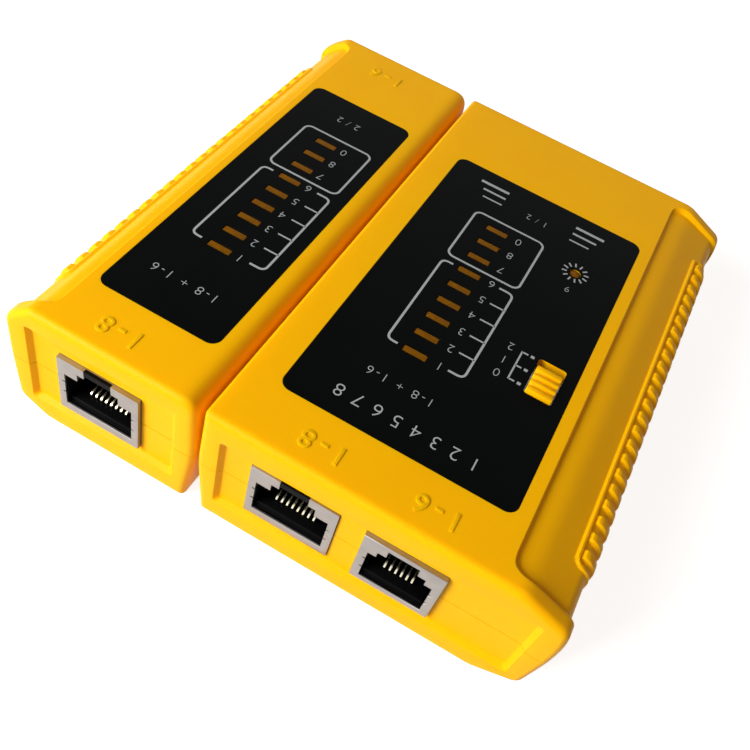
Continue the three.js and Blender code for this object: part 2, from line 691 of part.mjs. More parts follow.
// A lead leaves the back of the connector, turns up and ends under the board.
function batteryLead(dx, radius) {
  const middle = battery.low + BATTERY.height / 2;
  const start = snapPlate.front + snapPlate.thick + CLEAR;
  const x = battery.x + dx;
  const path = new THREE.CatmullRomCurve3([
    new THREE.Vector3(x, start, middle),
    new THREE.Vector3(x, start + 1.2, middle + 0.2),
    new THREE.Vector3(x, start + 2.2, middle + 2.2),
    new THREE.Vector3(x, start + 1.6, middle + 5.4),
    new THREE.Vector3(x, start + 1.2, BOARD_BOTTOM - 1.4),
    new THREE.Vector3(x, start + 1.2, BOARD_BOTTOM - CLEAR),
  ]);
  const section = new THREE.Shape(circleOutline(0, 0, radius, 8).map(([a, b]) => new THREE.Vector2(a, b)));
  return solid(new THREE.ExtrudeGeometry(section, { steps: 14, extrudePath: path, bevelEnabled: false }));
}

function caseScrew(x, y) {
  const { headInset, headHeight, head, shaft } = SCREW;
  const slot = box(x - 0.35, x + 0.35, y - 1.5, y + 1.5, 0, headInset + 0.8);
  const cross = box(x - 1.5, x + 1.5, y - 0.35, y + 0.35, 0, headInset + 0.8);
  return post(x, y, headInset, headInset + headHeight, head, 20)
    .add(post(x, y, headInset + 0.5, BOARD_BOTTOM - 1, shaft, 16))
    .subtract(slot.add(cross));
}

function addScrews(unit) {
  screwPlaces[unit.name].forEach(([x, y], i) => {
    place(`${unit.name}_case_screw_${i + 1}`, caseScrew(x, y), finish.steel());
  });
}

function chip(unit, u, y, width, length) {
  const x = xAt(unit, u);
  return box(x - width / 2, x + width / 2, y - length / 2, y + length / 2, BOARD_TOP, BOARD_TOP + 1.8);
}

// ---- Assembly -----------------------------------------------------------------------------------------

function masterShells() {
  const holes = joined(sockets.filter((socket) => socket.unit === master).map(socketHole));
  const whole = hollowCase(master).add(channelBlock()).subtract(dockChannel()).subtract(holes);
  place("master_top_shell", halfOf(whole, 1).subtract(topCuts(master)), finish.case());
  place("master_bottom_shell", halfOf(whole, -1).add(batteryBay()).subtract(doorWay()), finish.case());
}

function remoteShells() {
  const holes = joined(sockets.filter((socket) => socket.unit === remote).map(socketHole));
  const whole = hollowCase(remote).add(dockRail()).subtract(holes);
  place("remote_top_shell", halfOf(whole, 1).subtract(topCuts(remote)), finish.case());
  place("remote_bottom_shell", halfOf(whole, -1), finish.case());
}

masterShells();
remoteShells();
for (const unit of [master, remote]) {
  place(`${unit.name}_face_label`, faceLabel(unit), finish.label());
  place(`${unit.name}_circuit_board`, circuitBoard(unit), finish.board());
  addLamps(unit);
  addScrews(unit);
}
place("master_power_led", powerLed(), finish.lens());
addSockets();
place("switch_frame", switchFrame(), finish.steel());
place("switch_base", switchBase(), finish.chip());
place("switch_slider", switchSlider(), finish.chip());
place("switch_knob", switchKnob(), finish.case());
place("battery_door", batteryDoor(), finish.case());
place("battery", batteryBlock(), finish.battery());
place("battery_connector", batteryConnector(), finish.black());
place("battery_lead_red", batteryLead(5, 0.7), finish.red());
place("battery_lead_black", batteryLead(-5, 0.7), finish.black());
place("clock_chip", chip(master, 33, -30, 6, 5), finish.chip());
place("counter_chip", chip(master, 33, 2, 6.2, 10), finish.chip());

export default tester;
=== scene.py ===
# %% [markdown]
# # A network cable tester in two moulded halves
# The frame holds every piece of the tester at its true size. This lesson gives those pieces their looks:
# soft moulded cases, a printed film, pressed metal sockets and amber lamps. The frame is loaded first,
# because every size and place below is read from it or built around it.

import json
import math

import bmesh
import bpy
import numpy as np
from mathutils import Matrix, Vector


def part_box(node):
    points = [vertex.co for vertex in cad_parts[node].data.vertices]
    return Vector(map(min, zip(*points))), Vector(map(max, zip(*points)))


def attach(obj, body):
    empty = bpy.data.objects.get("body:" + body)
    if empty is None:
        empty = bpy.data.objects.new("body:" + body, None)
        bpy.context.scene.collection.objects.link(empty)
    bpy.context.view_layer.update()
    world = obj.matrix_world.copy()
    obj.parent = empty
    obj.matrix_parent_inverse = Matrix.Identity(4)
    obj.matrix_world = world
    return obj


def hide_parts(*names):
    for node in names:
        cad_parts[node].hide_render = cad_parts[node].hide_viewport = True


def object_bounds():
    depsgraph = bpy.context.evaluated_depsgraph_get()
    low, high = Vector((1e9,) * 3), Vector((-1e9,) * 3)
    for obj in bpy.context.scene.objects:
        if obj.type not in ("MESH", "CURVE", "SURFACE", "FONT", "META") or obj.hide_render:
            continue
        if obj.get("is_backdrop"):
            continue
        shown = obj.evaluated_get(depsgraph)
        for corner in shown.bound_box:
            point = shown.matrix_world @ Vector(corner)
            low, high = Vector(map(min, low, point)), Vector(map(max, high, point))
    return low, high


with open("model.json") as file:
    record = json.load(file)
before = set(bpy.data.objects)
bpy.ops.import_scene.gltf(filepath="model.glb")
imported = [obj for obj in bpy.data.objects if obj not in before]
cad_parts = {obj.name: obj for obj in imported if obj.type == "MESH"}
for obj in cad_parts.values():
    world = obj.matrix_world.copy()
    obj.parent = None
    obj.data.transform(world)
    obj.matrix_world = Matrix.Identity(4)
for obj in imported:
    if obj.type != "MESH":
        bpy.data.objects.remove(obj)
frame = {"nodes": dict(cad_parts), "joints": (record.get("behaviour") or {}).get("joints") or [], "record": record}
cad_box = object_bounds()
MM = 0.001
record = frame["record"]
body_of_node = {node: body for body, members in record["behaviour"]["bodies"].items() for node in members}
slot_of_node = {part["node"]: part["material_slot"] for part in record["subparts"]}


def linked(name, data):
    """A new object with this data, placed in the scene at the origin."""
    obj = bpy.data.objects.new(name, data)
    bpy.context.scene.collection.objects.link(obj)
    return obj


print("pieces in the frame:", len(body_of_node))

# %% [markdown]
# ## Camera and light
# The camera stands in front of the master's sockets and a little to the right, looks down at fifty degrees
# and is rolled by nineteen. Its own axes are right, up and back, so those three directions are worked out
# first and become the columns of its matrix.

# %% Camera
AZIMUTH, ELEVATION, ROLL = math.radians(12.32), math.radians(50.02), math.radians(19.25)
CAMERA_PLACE = Vector((24.9, -121.55, 137.5)) * MM
SENSOR_WIDTH = 36
LENS = 41.73

back = Vector((math.sin(AZIMUTH) * math.cos(ELEVATION), -math.cos(AZIMUTH) * math.cos(ELEVATION),
               math.sin(ELEVATION)))
level_right = Vector((math.cos(AZIMUTH), math.sin(AZIMUTH), 0))
level_up = back.cross(level_right)
right = level_right * math.cos(ROLL) + level_up * math.sin(ROLL)
up = back.cross(right)
camera_data = bpy.data.cameras.new("camera")
camera_data.lens = LENS
camera_data.sensor_width = SENSOR_WIDTH
camera_data.clip_start = 0.005
camera = linked("camera", camera_data)
camera.matrix_world = Matrix.Translation(CAMERA_PLACE) @ Matrix((right, up, back)).transposed().to_4x4()
bpy.context.scene.camera = camera
bpy.context.scene.view_settings.view_transform = "Standard"
print("camera looks along", tuple(round(-c, 3) for c in back))

# %% [markdown]
# Every colour here is written as an sRGB hex value, as a paint chart would give it. Shaders want linear
# light, so one function converts. Another adds a node with its settings and links, which keeps each
# material below to a short list.

# %% Colour and node helpers
def linear(hex_colour, alpha=1.0):
    """sRGB to linear: c / 12.92 below 0.04045, else ((c + 0.055) / 1.055) to the power 2.4."""
    channels = [int(hex_colour[i:i + 2], 16) / 255 for i in (1, 3, 5)]
    return tuple(c / 12.92 if c <= 0.04045 else ((c + 0.055) / 1.055) ** 2.4 for c in channels) + (alpha,)


def add(tree, kind, settings=(), **sockets):
    """A new node: settings are (name, value) pairs, and sockets are values or outputs to link.
    A socket that is told apart by its number is written s0, s1 and so on."""
    node = tree.nodes.new(kind)
    for name, value in settings:
        setattr(node, name, value)
    for name, value in sockets.items():
        key = int(name[1:]) if name[0] == "s" and name[1:].isdigit() else name.replace("_", " ")
        if isinstance(value, bpy.types.NodeSocket):
            tree.links.new(value, node.inputs[key])
        else:
            node.inputs[key].default_value = value
    return node


def new_material(name):
    material = bpy.data.materials.new(name)
    material.use_nodes = True
    material.node_tree.nodes.clear()
    return material, material.node_tree


def finish_material(tree, shader):
    add(tree, "ShaderNodeOutputMaterial", Surface=shader.outputs[0])


# %% [markdown]
# The light is one broad lamp in front and to the left, with a soft warm sky all around. The ground is a pale
# sheet. It and the sky are lifted to white only for the rays that the camera, a gloss or a glass sends out,
# so the object itself is lit at a plain level and still casts its shadow.

# %% World, lamps and ground
SKY_LEVEL = 0.22
SKY_COLOUR = (1, 0.82, 0.64, 1)
WHITE = (1, 1, 1, 1)
GROUND_REACH = 3.0
GROUND_DROP = 0.0003


def sees_white(tree):
    """1 for camera, gloss and transmission rays, the greatest of the three, and 0 for the rays that light."""
    ray = add(tree, "ShaderNodeLightPath").outputs
    either = add(tree, "ShaderNodeMath", [("operation", "MAXIMUM")], s0=ray["Is Camera Ray"],
                 s1=ray["Is Glossy Ray"])
    return add(tree, "ShaderNodeMath", [("operation", "MAXIMUM")], s0=either.outputs[0],
               s1=ray["Is Transmission Ray"]).outputs[0]


world = bpy.data.worlds.new("sky")
bpy.context.scene.world = world
world.use_nodes = True
sky = world.node_tree
sky.nodes.clear()
soft_sky = add(sky, "ShaderNodeBackground", Color=SKY_COLOUR, Strength=SKY_LEVEL)
white_sky = add(sky, "ShaderNodeBackground", Color=WHITE, Strength=1.0)
both = add(sky, "ShaderNodeMixShader", s0=sees_white(sky), s1=soft_sky.outputs[0], s2=white_sky.outputs[0])
add(sky, "ShaderNodeOutputWorld", Surface=both.outputs[0])


def soft_lamp(name, place, target, width, watts):
    """A square lamp of the given width that faces the target."""
    data = bpy.data.lights.new(name, "AREA")
    data.energy = watts
    data.size = width
    lamp = linked(name, data)
    lamp.location = place
    lamp.rotation_euler = (Vector(target) - Vector(place)).to_track_quat("-Z", "Y").to_euler()


soft_lamp("key_lamp", (-0.36, -0.44, 0.32), (0, 0, 0.01), 0.34, 6.1)

ground_material, tree = new_material("pale_ground_paper")
paper = add(tree, "ShaderNodeBsdfDiffuse", Color=(0.5, 0.5, 0.5, 1))
lift = add(tree, "ShaderNodeEmission", Color=WHITE, Strength=0.85)
bright = add(tree, "ShaderNodeAddShader", s0=paper.outputs[0], s1=lift.outputs[0])
chosen = add(tree, "ShaderNodeMixShader", s0=sees_white(tree), s1=paper.outputs[0], s2=bright.outputs[0])
finish_material(tree, chosen)
ground_mesh = bpy.data.meshes.new("ground")
square = np.array([(-1, -1, 0), (1, -1, 0), (1, 1, 0), (-1, 1, 0)]) * GROUND_REACH
ground_mesh.from_pydata(square.tolist(), [], [(0, 1, 2, 3)])
ground_mesh.materials.append(ground_material)
ground = linked("ground", ground_mesh)
ground.location.z = -GROUND_DROP
ground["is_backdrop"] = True
print("lit by one lamp and the sky at", SKY_LEVEL)

# %% [markdown]
# ## Materials
# The case is moulded ABS with a fine spark-eroded skin. That skin is far below a millimetre, so it shows as
# a soft, slightly broken gloss. A little light travels through the yellow plastic, which is why its grooves
# glow orange instead of going grey.

# %% Moulded ABS
def mottled(tree, cloud, colours, grain, gloss, **sockets):
    """A shader whose colour goes from one colour to another with the cloud, and whose roughness goes from one
    value to another as the grain goes from 0.3 to 0.7."""
    colour = add(tree, "ShaderNodeMix", [("data_type", "RGBA")], s0=cloud.outputs[0], s6=linear(colours[0]),
                 s7=linear(colours[1]))
    rough = add(tree, "ShaderNodeMapRange", s0=grain.outputs[0], s1=0.3, s2=0.7, s3=gloss[0], s4=gloss[1])
    return add(tree, "ShaderNodeBsdfPrincipled", Base_Color=colour.outputs[2], Roughness=rough.outputs[0],
               **sockets)


def moulded_abs(name, colours, glow=0.3, ior=1.18):
    """Spark-eroded plastic: its broken satin gloss is far weaker than a polished face would give, so the IOR
    is set low. Some light goes under the skin."""
    material, tree = new_material(name)
    place = add(tree, "ShaderNodeTexCoord").outputs["Object"]
    cloud = add(tree, "ShaderNodeTexNoise", Vector=place, Scale=1 / (14 * MM))
    grain = add(tree, "ShaderNodeTexNoise", Vector=place, Scale=1 / (0.22 * MM), Detail=3.0)
    skin = add(tree, "ShaderNodeBump", Strength=0.16, Distance=0.00004, Height=grain.outputs[0])
    shader = mottled(tree, cloud, colours, grain, (0.38, 0.5), Normal=skin.outputs[0], IOR=ior,
                     Subsurface_Weight=glow, Subsurface_Radius=(1.0, 0.3, 0.02), Subsurface_Scale=2.2 * MM)
    finish_material(tree, shader)
    return material


case_abs = moulded_abs("moulded_abs_yellow", ("#FBB400", "#FDBA00"))
socket_abs = moulded_abs("moulded_pbt_black", ("#050505", "#0A0A0B"), 0.0, 1.12)
print("plastics:", case_abs.name, socket_abs.name)

# %% [markdown]
# The faces carry a screen-printed polyester film. Its black is deep because the print lies under the film,
# and only a thin sheen stays on top. The white ink is a slightly grey, matt layer.

# %% Printed film
def printed_film(name, colours, roughness, ior):
    """Satin film: a faint orange-peel ripple of half a millimetre breaks its sheen."""
    material, tree = new_material(name)
    place = add(tree, "ShaderNodeTexCoord").outputs["Object"]
    ripple = add(tree, "ShaderNodeTexNoise", Vector=place, Scale=1 / (0.5 * MM))
    cloud = add(tree, "ShaderNodeTexNoise", Vector=place, Scale=1 / (9 * MM))
    skin = add(tree, "ShaderNodeBump", Strength=0.05, Distance=0.00002, Height=ripple.outputs[0])
    finish_material(tree, mottled(tree, cloud, colours, cloud, (roughness, roughness + 0.06),
                                  Normal=skin.outputs[0], IOR=ior))
    return material


label_film = printed_film("polyester_film_black", ("#020303", "#050606"), 0.34, 1.09)
white_ink = printed_film("screen_ink_light_grey", ("#9CA3A6", "#A8AFB2"), 0.6, 1.15)

# %% [markdown]
# The sockets are wrapped in tin-plated steel. Rolling leaves faint lines along the sheet, a tenth of a
# millimetre apart, and the plating blurs them. The spring contacts are gold-flashed wire.

# %% Metals
def plated_sheet(name, colours, roughness, line_mm=0.12):
    """Plated metal: noise stretched thirty times along X gives the rolling lines."""
    material, tree = new_material(name)
    place = add(tree, "ShaderNodeTexCoord").outputs["Object"]
    stretch = add(tree, "ShaderNodeMapping", Vector=place, Scale=(1 / 30, 1, 1))
    lines = add(tree, "ShaderNodeTexNoise", Vector=stretch.outputs[0], Scale=1 / (line_mm * MM), Detail=3.0)
    stain = add(tree, "ShaderNodeTexNoise", Vector=place, Scale=1 / (2.5 * MM))
    skin = add(tree, "ShaderNodeBump", Strength=0.08, Distance=0.00002, Height=lines.outputs[0])
    finish_material(tree, mottled(tree, stain, colours, lines, (roughness - 0.05, roughness + 0.07),
                                  Normal=skin.outputs[0], Metallic=1.0))
    return material


tin_plate = plated_sheet("tin_plated_steel", ("#948F8C", "#A8A39F"), 0.42)
gold_flash = plated_sheet("gold_flashed_wire", ("#E9DDB8", "#F6EED6"), 0.2)
zinc_plate = plated_sheet("zinc_plated_steel", ("#A9AAAC", "#BDBEC0"), 0.3)
battery_steel = plated_sheet("lacquered_battery_steel", ("#33373C", "#3E4248"), 0.32, 0.3)
print("metals:", *(m.name for m in (tin_plate, gold_flash, zinc_plate, battery_steel)))

# %% [markdown]
# An unlit lamp is a block of tinted epoxy. It lets light in and scatters it, so it is deeper at its middle
# than at its edges. The circuit board is glass laminate under green mask, with copper tracks that show
# through as lighter lanes.

# %% Epoxy, laminate and cable plastics
def tinted_epoxy(name, colours):
    """Cast epoxy: a cloud a millimetre wide, and light that goes under the skin. Its face is matt from the
    mould, so the IOR is set lower than the 1.55 of clear epoxy."""
    material, tree = new_material(name)
    place = add(tree, "ShaderNodeTexCoord").outputs["Object"]
    cloud = add(tree, "ShaderNodeTexNoise", Vector=place, Scale=1 / (1.2 * MM))
    finish_material(tree, mottled(tree, cloud, colours, cloud, (0.26, 0.36), IOR=1.14, Subsurface_Weight=0.15,
                                  Subsurface_Radius=(1.0, 0.45, 0.1), Subsurface_Scale=1.2 * MM))
    return material


def masked_laminate(name):
    """Solder mask over copper: stepped fields of two dark greens with lighter lanes between them."""
    material, tree = new_material(name)
    place = add(tree, "ShaderNodeTexCoord").outputs["Object"]
    lanes = add(tree, "ShaderNodeTexBrick", Vector=place, Scale=1 / (2 * MM),
                Mortar_Size=0.06, Color1=linear("#1B5A31"), Color2=linear("#17502B"),
                Mortar=linear("#3B8A52"))
    finish_material(tree, add(tree, "ShaderNodeBsdfPrincipled", Base_Color=lanes.outputs[0], Roughness=0.38))
    return material


amber_epoxy = tinted_epoxy("cast_epoxy_amber", ("#663D00", "#865700"))
laminate = masked_laminate("glass_laminate_green")
chip_epoxy = printed_film("moulded_chip_epoxy", ("#161618", "#1D1D20"), 0.55, 1.4)
red_pvc = printed_film("pvc_cable_red", ("#A91A1A", "#B82020"), 0.42, 1.45)
black_pvc = printed_film("pvc_cable_black", ("#121213", "#191919"), 0.45, 1.45)
material_of_slot = {
    "case_abs": case_abs, "label_film": label_film, "socket_shield": tin_plate, "socket_plastic": socket_abs,
    "contact_metal": gold_flash, "lamp_lens": amber_epoxy, "board_laminate": laminate, "steel": zinc_plate,
    "chip_resin": chip_epoxy, "battery_jacket": battery_steel, "lead_red": red_pvc, "lead_black": black_pvc,
}
print("materials:", len(material_of_slot) + 1)

# %% [markdown]
# ## From arrays to pieces
# A shape below is an array of points. One helper turns rings of points into a closed mesh, one smooths it up
# to a crease angle, and one puts the finished piece on its body with its material.

# %% Mesh helpers
SMOOTH_ANGLE = math.radians(32)


def outward(mesh):
    """Doubles are merged, and every face is turned to look out."""
    work = bmesh.new()
    work.from_mesh(mesh)
    bmesh.ops.remove_doubles(work, verts=work.verts, dist=0.002 * MM)
    bmesh.ops.recalc_face_normals(work, faces=work.faces)
    work.to_mesh(mesh)
    work.free()


def ring_solid(name, rings):
    """Rings of equally many points, in millimetres, joined by quads from each ring to the next, with a flat
    cap at both ends. Point j of ring i has the index i times the points of a ring, plus j."""
    rings = np.asarray(rings, float)
    count, around = rings.shape[:2]
    index = np.arange(count * around).reshape(count, around)
    nxt = np.roll(index, -1, axis=1)
    sides = np.stack([index[:-1], nxt[:-1], nxt[1:], index[1:]], axis=-1).reshape(-1, 4)
    mesh = bpy.data.meshes.new(name)
    caps = [index[0][::-1].tolist(), index[-1].tolist()]
    mesh.from_pydata((rings.reshape(-1, 3) * MM).tolist(), [], sides.tolist() + caps)
    outward(mesh)
    return linked(name, mesh)


def block(name, low, high):
    """A plain box between two corners, used only as a cutting tool."""
    (x0, y0, z0), (x1, y1, z1) = low, high
    outline = [(x0, y0), (x1, y0), (x1, y1), (x0, y1)]
    return ring_solid(name, [[(x, y, z) for x, y in outline] for z in (z0, z1)])


def finished(obj):
    """The object with its modifiers carried out, and none left on it."""
    ready = bpy.data.meshes.new_from_object(obj.evaluated_get(bpy.context.evaluated_depsgraph_get()))
    obj.modifiers.clear()
    obj.data = ready
    return obj


def carve(obj, tools, operation="DIFFERENCE"):
    """The object joined with or cut by all the tools at once; the tools are used up."""
    group = bpy.data.collections.new("tools")
    bpy.context.scene.collection.children.link(group)
    for tool in tools:
        bpy.context.scene.collection.objects.unlink(tool)
        group.objects.link(tool)
    cut = obj.modifiers.new("cut", "BOOLEAN")
    cut.operation = operation
    cut.solver = "EXACT"
    cut.operand_type = "COLLECTION"
    cut.collection = group
    finished(obj)
    for tool in list(tools):
        bpy.data.objects.remove(tool)
    bpy.data.collections.remove(group)
    return obj


def smooth(obj, angle=SMOOTH_ANGLE):
    obj.data.polygons.foreach_set("use_smooth", [True] * len(obj.data.polygons))
    obj.data.set_sharp_from_angle(angle=angle)
    return obj


def joined(name, parts):
    """Several meshes as one piece."""
    work = bmesh.new()
    for part in parts:
        work.from_mesh(part.data)
        bpy.data.objects.remove(part)
    mesh = bpy.data.meshes.new(name)
    work.to_mesh(mesh)
    work.free()
    return linked(name, mesh)


def dress(obj, body, material, nodes=()):
    """Gives the piece its material, puts it on its body and hides the frame's nodes that it takes the place of."""
    obj.data.materials.clear()
    obj.data.materials.append(material)
    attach(obj, body)
    if nodes:
        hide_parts(*nodes)
    return obj


# %% [markdown]
# ## The cases
# A case is an outline in width and height carried along the length. Between the bumpers at its two ends the
# outline is slimmer on the gripped side. Both outlines are given by the same twelve corners, so that a
# point on one has its partner on the other, and each corner is rounded by its own reach.

# %% Case sizes from the frame
def box_mm(*nodes):
    """Lowest and highest corner of several nodes together, in millimetres."""
    corners = [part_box(node) for node in nodes]
    low = np.min([c[0] for c in corners], axis=0) / MM
    high = np.max([c[1] for c in corners], axis=0) / MM
    return low, high


master_low, master_high = box_mm("master_top_shell", "master_bottom_shell")
remote_low, _ = box_mm("remote_top_shell", "remote_bottom_shell")
HEIGHT = master_high[2]
HALF_LENGTH = master_high[1]
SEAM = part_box("master_top_shell")[0].z / MM
SLIDES = {joint["name"]: joint["range_m"][1] / MM for joint in frame["joints"]}
DOCK_GAP = 0.4
WALL = 2.0
BUMPER = 3.0
PANEL_DEPTH = 1.0
END_ROUND = 1.3
CLEAR = 0.3

cases = {
    "master": {"dock": master_low[0], "turn": 1, "width": master_high[0] - master_low[0], "grip": 0.9,
               "crease": 13.1, "shoulder": (9.4, 0.6, 4.0, 8.0), "foot": (9.4, 1.2, 3.5), "dock_round": 1.0,
               "panel_top": 5.0, "pad": 3.6},
    "remote": {"dock": master_low[0] - DOCK_GAP, "turn": -1,
               "width": master_low[0] - DOCK_GAP - remote_low[0], "grip": 0.8, "crease": 7.7,
               "shoulder": (5.2, 2.2, 2.2, 4.6), "foot": (6.6, 0.8, 3.2),
               "dock_round": 3.2, "panel_top": 4.0, "pad": 2.7},
}
print("case widths:", {name: round(float(case["width"]), 2) for name, case in cases.items()})

# %% Outlines of a case
def bumper_corners(case):
    """Twelve corners of the full outline, up the docking side, over the top and back under the foot."""
    w = case["width"]
    top_in, edge_in, edge_drop, side_drop = case["shoulder"]
    foot_in, foot_side, foot_rise = case["foot"]
    crease = w - case["crease"]
    return np.array([
        (1.5, 0), (0, SEAM), (0.5, HEIGHT), (crease, HEIGHT), (crease + 0.5, HEIGHT), (w - top_in, HEIGHT),
        (w - edge_in, HEIGHT - edge_drop), (w, HEIGHT - side_drop), (w - 0.1, SEAM),
        (w - foot_side, foot_rise + 0.6), (w - foot_side - 0.9, foot_rise - 0.5), (w - foot_in, 0)])


def grip_corners(case):
    """The same corners where the hand holds the case: a step down at the crease, a slope and a slim side."""
    w = case["width"] - case["grip"]
    crease = case["width"] - case["crease"]
    run = w - crease
    ahead = min(crease + 0.28 * run, w - 1.8)
    foot_rise = case["foot"][2] + 0.6
    return np.array([
        (1.5, 0), (0, SEAM), (0.5, HEIGHT), (crease, HEIGHT), (crease + 0.35, HEIGHT - 0.8),
        (ahead + 0.4, HEIGHT - 1.2), (w - 1.1, HEIGHT - 4.1), (w, HEIGHT - 6.0), (w, SEAM),
        (w - 0.3, foot_rise + 0.8), (w - 1.0, foot_rise - 0.6), (w - 0.7 * run, 0)])


def panel_corners(case, inset):
    """The same corners on the edge of the sunk panel at an end, moved in by inset."""
    w = case["width"]
    u0, u1 = 3.9 + inset, w - 4.2 - inset
    z0, z1 = 5.0 + inset, HEIGHT - case["panel_top"] - inset
    crease = w - case["crease"]
    return np.array([
        (u0, z0), (u0, SEAM), (u0, z1), (crease, z1), (crease + 0.5, z1), ((crease + 0.5 + u1) / 2, z1),
        (u1, z1), (u1, z1 - 3), (u1, SEAM), (u1, z0 + 3), (u1, z0), (w - 9.6, z0)])


CORNER_STEPS = 7
EDGE_STEPS = (3, 4, 26, 1, 10, 14, 2, 9, 9, 1, 5, 14)


def rounded_rings(corners, reach):
    """Each corner becomes a parabola from one edge to the next, and each edge gets even steps between them.
    B(s) = (1-s)^2 A + 2s(1-s) P + s^2 C, with A and C the points at the corner's reach on both edges."""
    before = np.roll(corners, 1, axis=1) - corners
    after = np.roll(corners, -1, axis=1) - corners
    length = np.linalg.norm(after, axis=-1)
    cap = 0.45 * np.minimum(length, np.roll(length, 1, axis=1))
    grip = np.minimum(np.asarray(reach), cap)[..., None]
    enter = corners + before / np.linalg.norm(before, axis=-1, keepdims=True) * grip
    leave = corners + after / np.linalg.norm(after, axis=-1, keepdims=True) * grip
    parts = []
    s = np.linspace(0, 1, CORNER_STEPS)[None, :, None]
    for i, steps in enumerate(EDGE_STEPS):
        a, p, c = enter[:, i:i + 1], corners[:, i:i + 1], leave[:, i:i + 1]
        parts.append((1 - s) ** 2 * a + 2 * s * (1 - s) * p + s ** 2 * c)
        t = (np.arange(1, steps + 1) / (steps + 1))[None, :, None]
        following = enter[:, (i + 1) % 12][:, None]
        parts.append(c * (1 - t) + following * t)
    return np.concatenate(parts, axis=1)


def pushed_out(rings, amount):
    """Every point moves along the outline's outward normal by its amount."""
    along = np.roll(rings, -1, axis=1) - np.roll(rings, 1, axis=1)
    along /= np.maximum(np.linalg.norm(along, axis=-1, keepdims=True), 1e-9)
    normal = np.stack([-along[..., 1], along[..., 0]], axis=-1)
    return rings + normal * amount[..., None]


# %% [markdown]
# The ribs lie in a raised frame with round corners. A point's distance to that frame tells whether it is on
# the rim, on a rib or in the valley between two ribs, and the case is pushed out by the height there.

# %% Ribbed pad
RIB_PITCH = 3.6
RIB_COUNT = 23
RIB_SHIFT = -0.7
RIM_HEIGHT, RIB_HEIGHT = 0.4, 0.76


def soft_step(x, low, high):
    """0 below low, 1 above high, and 3t^2 - 2t^3 between them."""
    t = np.clip((x - low) / (high - low), 0, 1)
    return t * t * (3 - 2 * t)


def rounded_inside(a, b, corner):
    """How far a point lies inside a rounded corner, from its distances a and b past the two edges:
    r - |(max(a + r, 0), max(b + r, 0))| - min(max(a + r, b + r), 0)."""
    outside = np.hypot(np.maximum(a + corner, 0), np.maximum(b + corner, 0))
    return corner - outside - np.minimum(np.maximum(a + corner, b + corner), 0)


def travelled(ring):
    """The distance gone along an outline at each of its points."""
    return np.concatenate([[0], np.cumsum(np.linalg.norm(np.diff(ring, axis=0), axis=1))])


def grip_share(grip_ring, y):
    """0 where the case has its full outline and 1 in the grip, with a soft wall and round corners between."""
    way = travelled(grip_ring)
    crease_point = sum(EDGE_STEPS[:3]) + 3 * CORNER_STEPS + CORNER_STEPS // 2
    before_crease = (way[crease_point] - way)[None, :]
    past_end = (np.abs(y) - (HALF_LENGTH - BUMPER))[:, None]
    return soft_step(rounded_inside(before_crease, past_end, 3.6), 0, 0.8)


def pad_height(case, grip_ring, y):
    """Height of the rim and the ribs over the case, for each length y and each point of the outline."""
    w = case["width"] - case["grip"]
    way = travelled(grip_ring)
    on_side = (grip_ring[:, 0] > w - case["pad"]) & (grip_ring[:, 1] > case["foot"][2] + 1.4)
    start, stop = way[on_side].min(), way[on_side].max()
    past_side = np.abs(way - (start + stop) / 2)[None, :] - (stop - start) / 2
    past_end = (np.abs(y - RIB_SHIFT) - RIB_COUNT * RIB_PITCH / 2 - 1.0)[:, None]
    inside = rounded_inside(past_side, past_end, 2.0)
    rim = soft_step(inside, 0, 0.3) * (1 - soft_step(inside, 0.75, 1.1))
    wave = 0.5 + 0.5 * np.cos(2 * np.pi * (y - RIB_SHIFT) / RIB_PITCH)
    rib = soft_step(wave, 0.28, 0.68)[:, None] * soft_step(inside, 0.9, 1.6)
    return RIM_HEIGHT * rim + RIB_HEIGHT * rib


# %% [markdown]
# The stations along the length are close together where the ribs wave and where a bumper meets the grip.
# At each end the outline rounds over, runs flat as a lip and slopes down into the sunk panel. An outline that
# shrinks by more than the radius of a corner would fold there, so the square corners open as it shrinks.

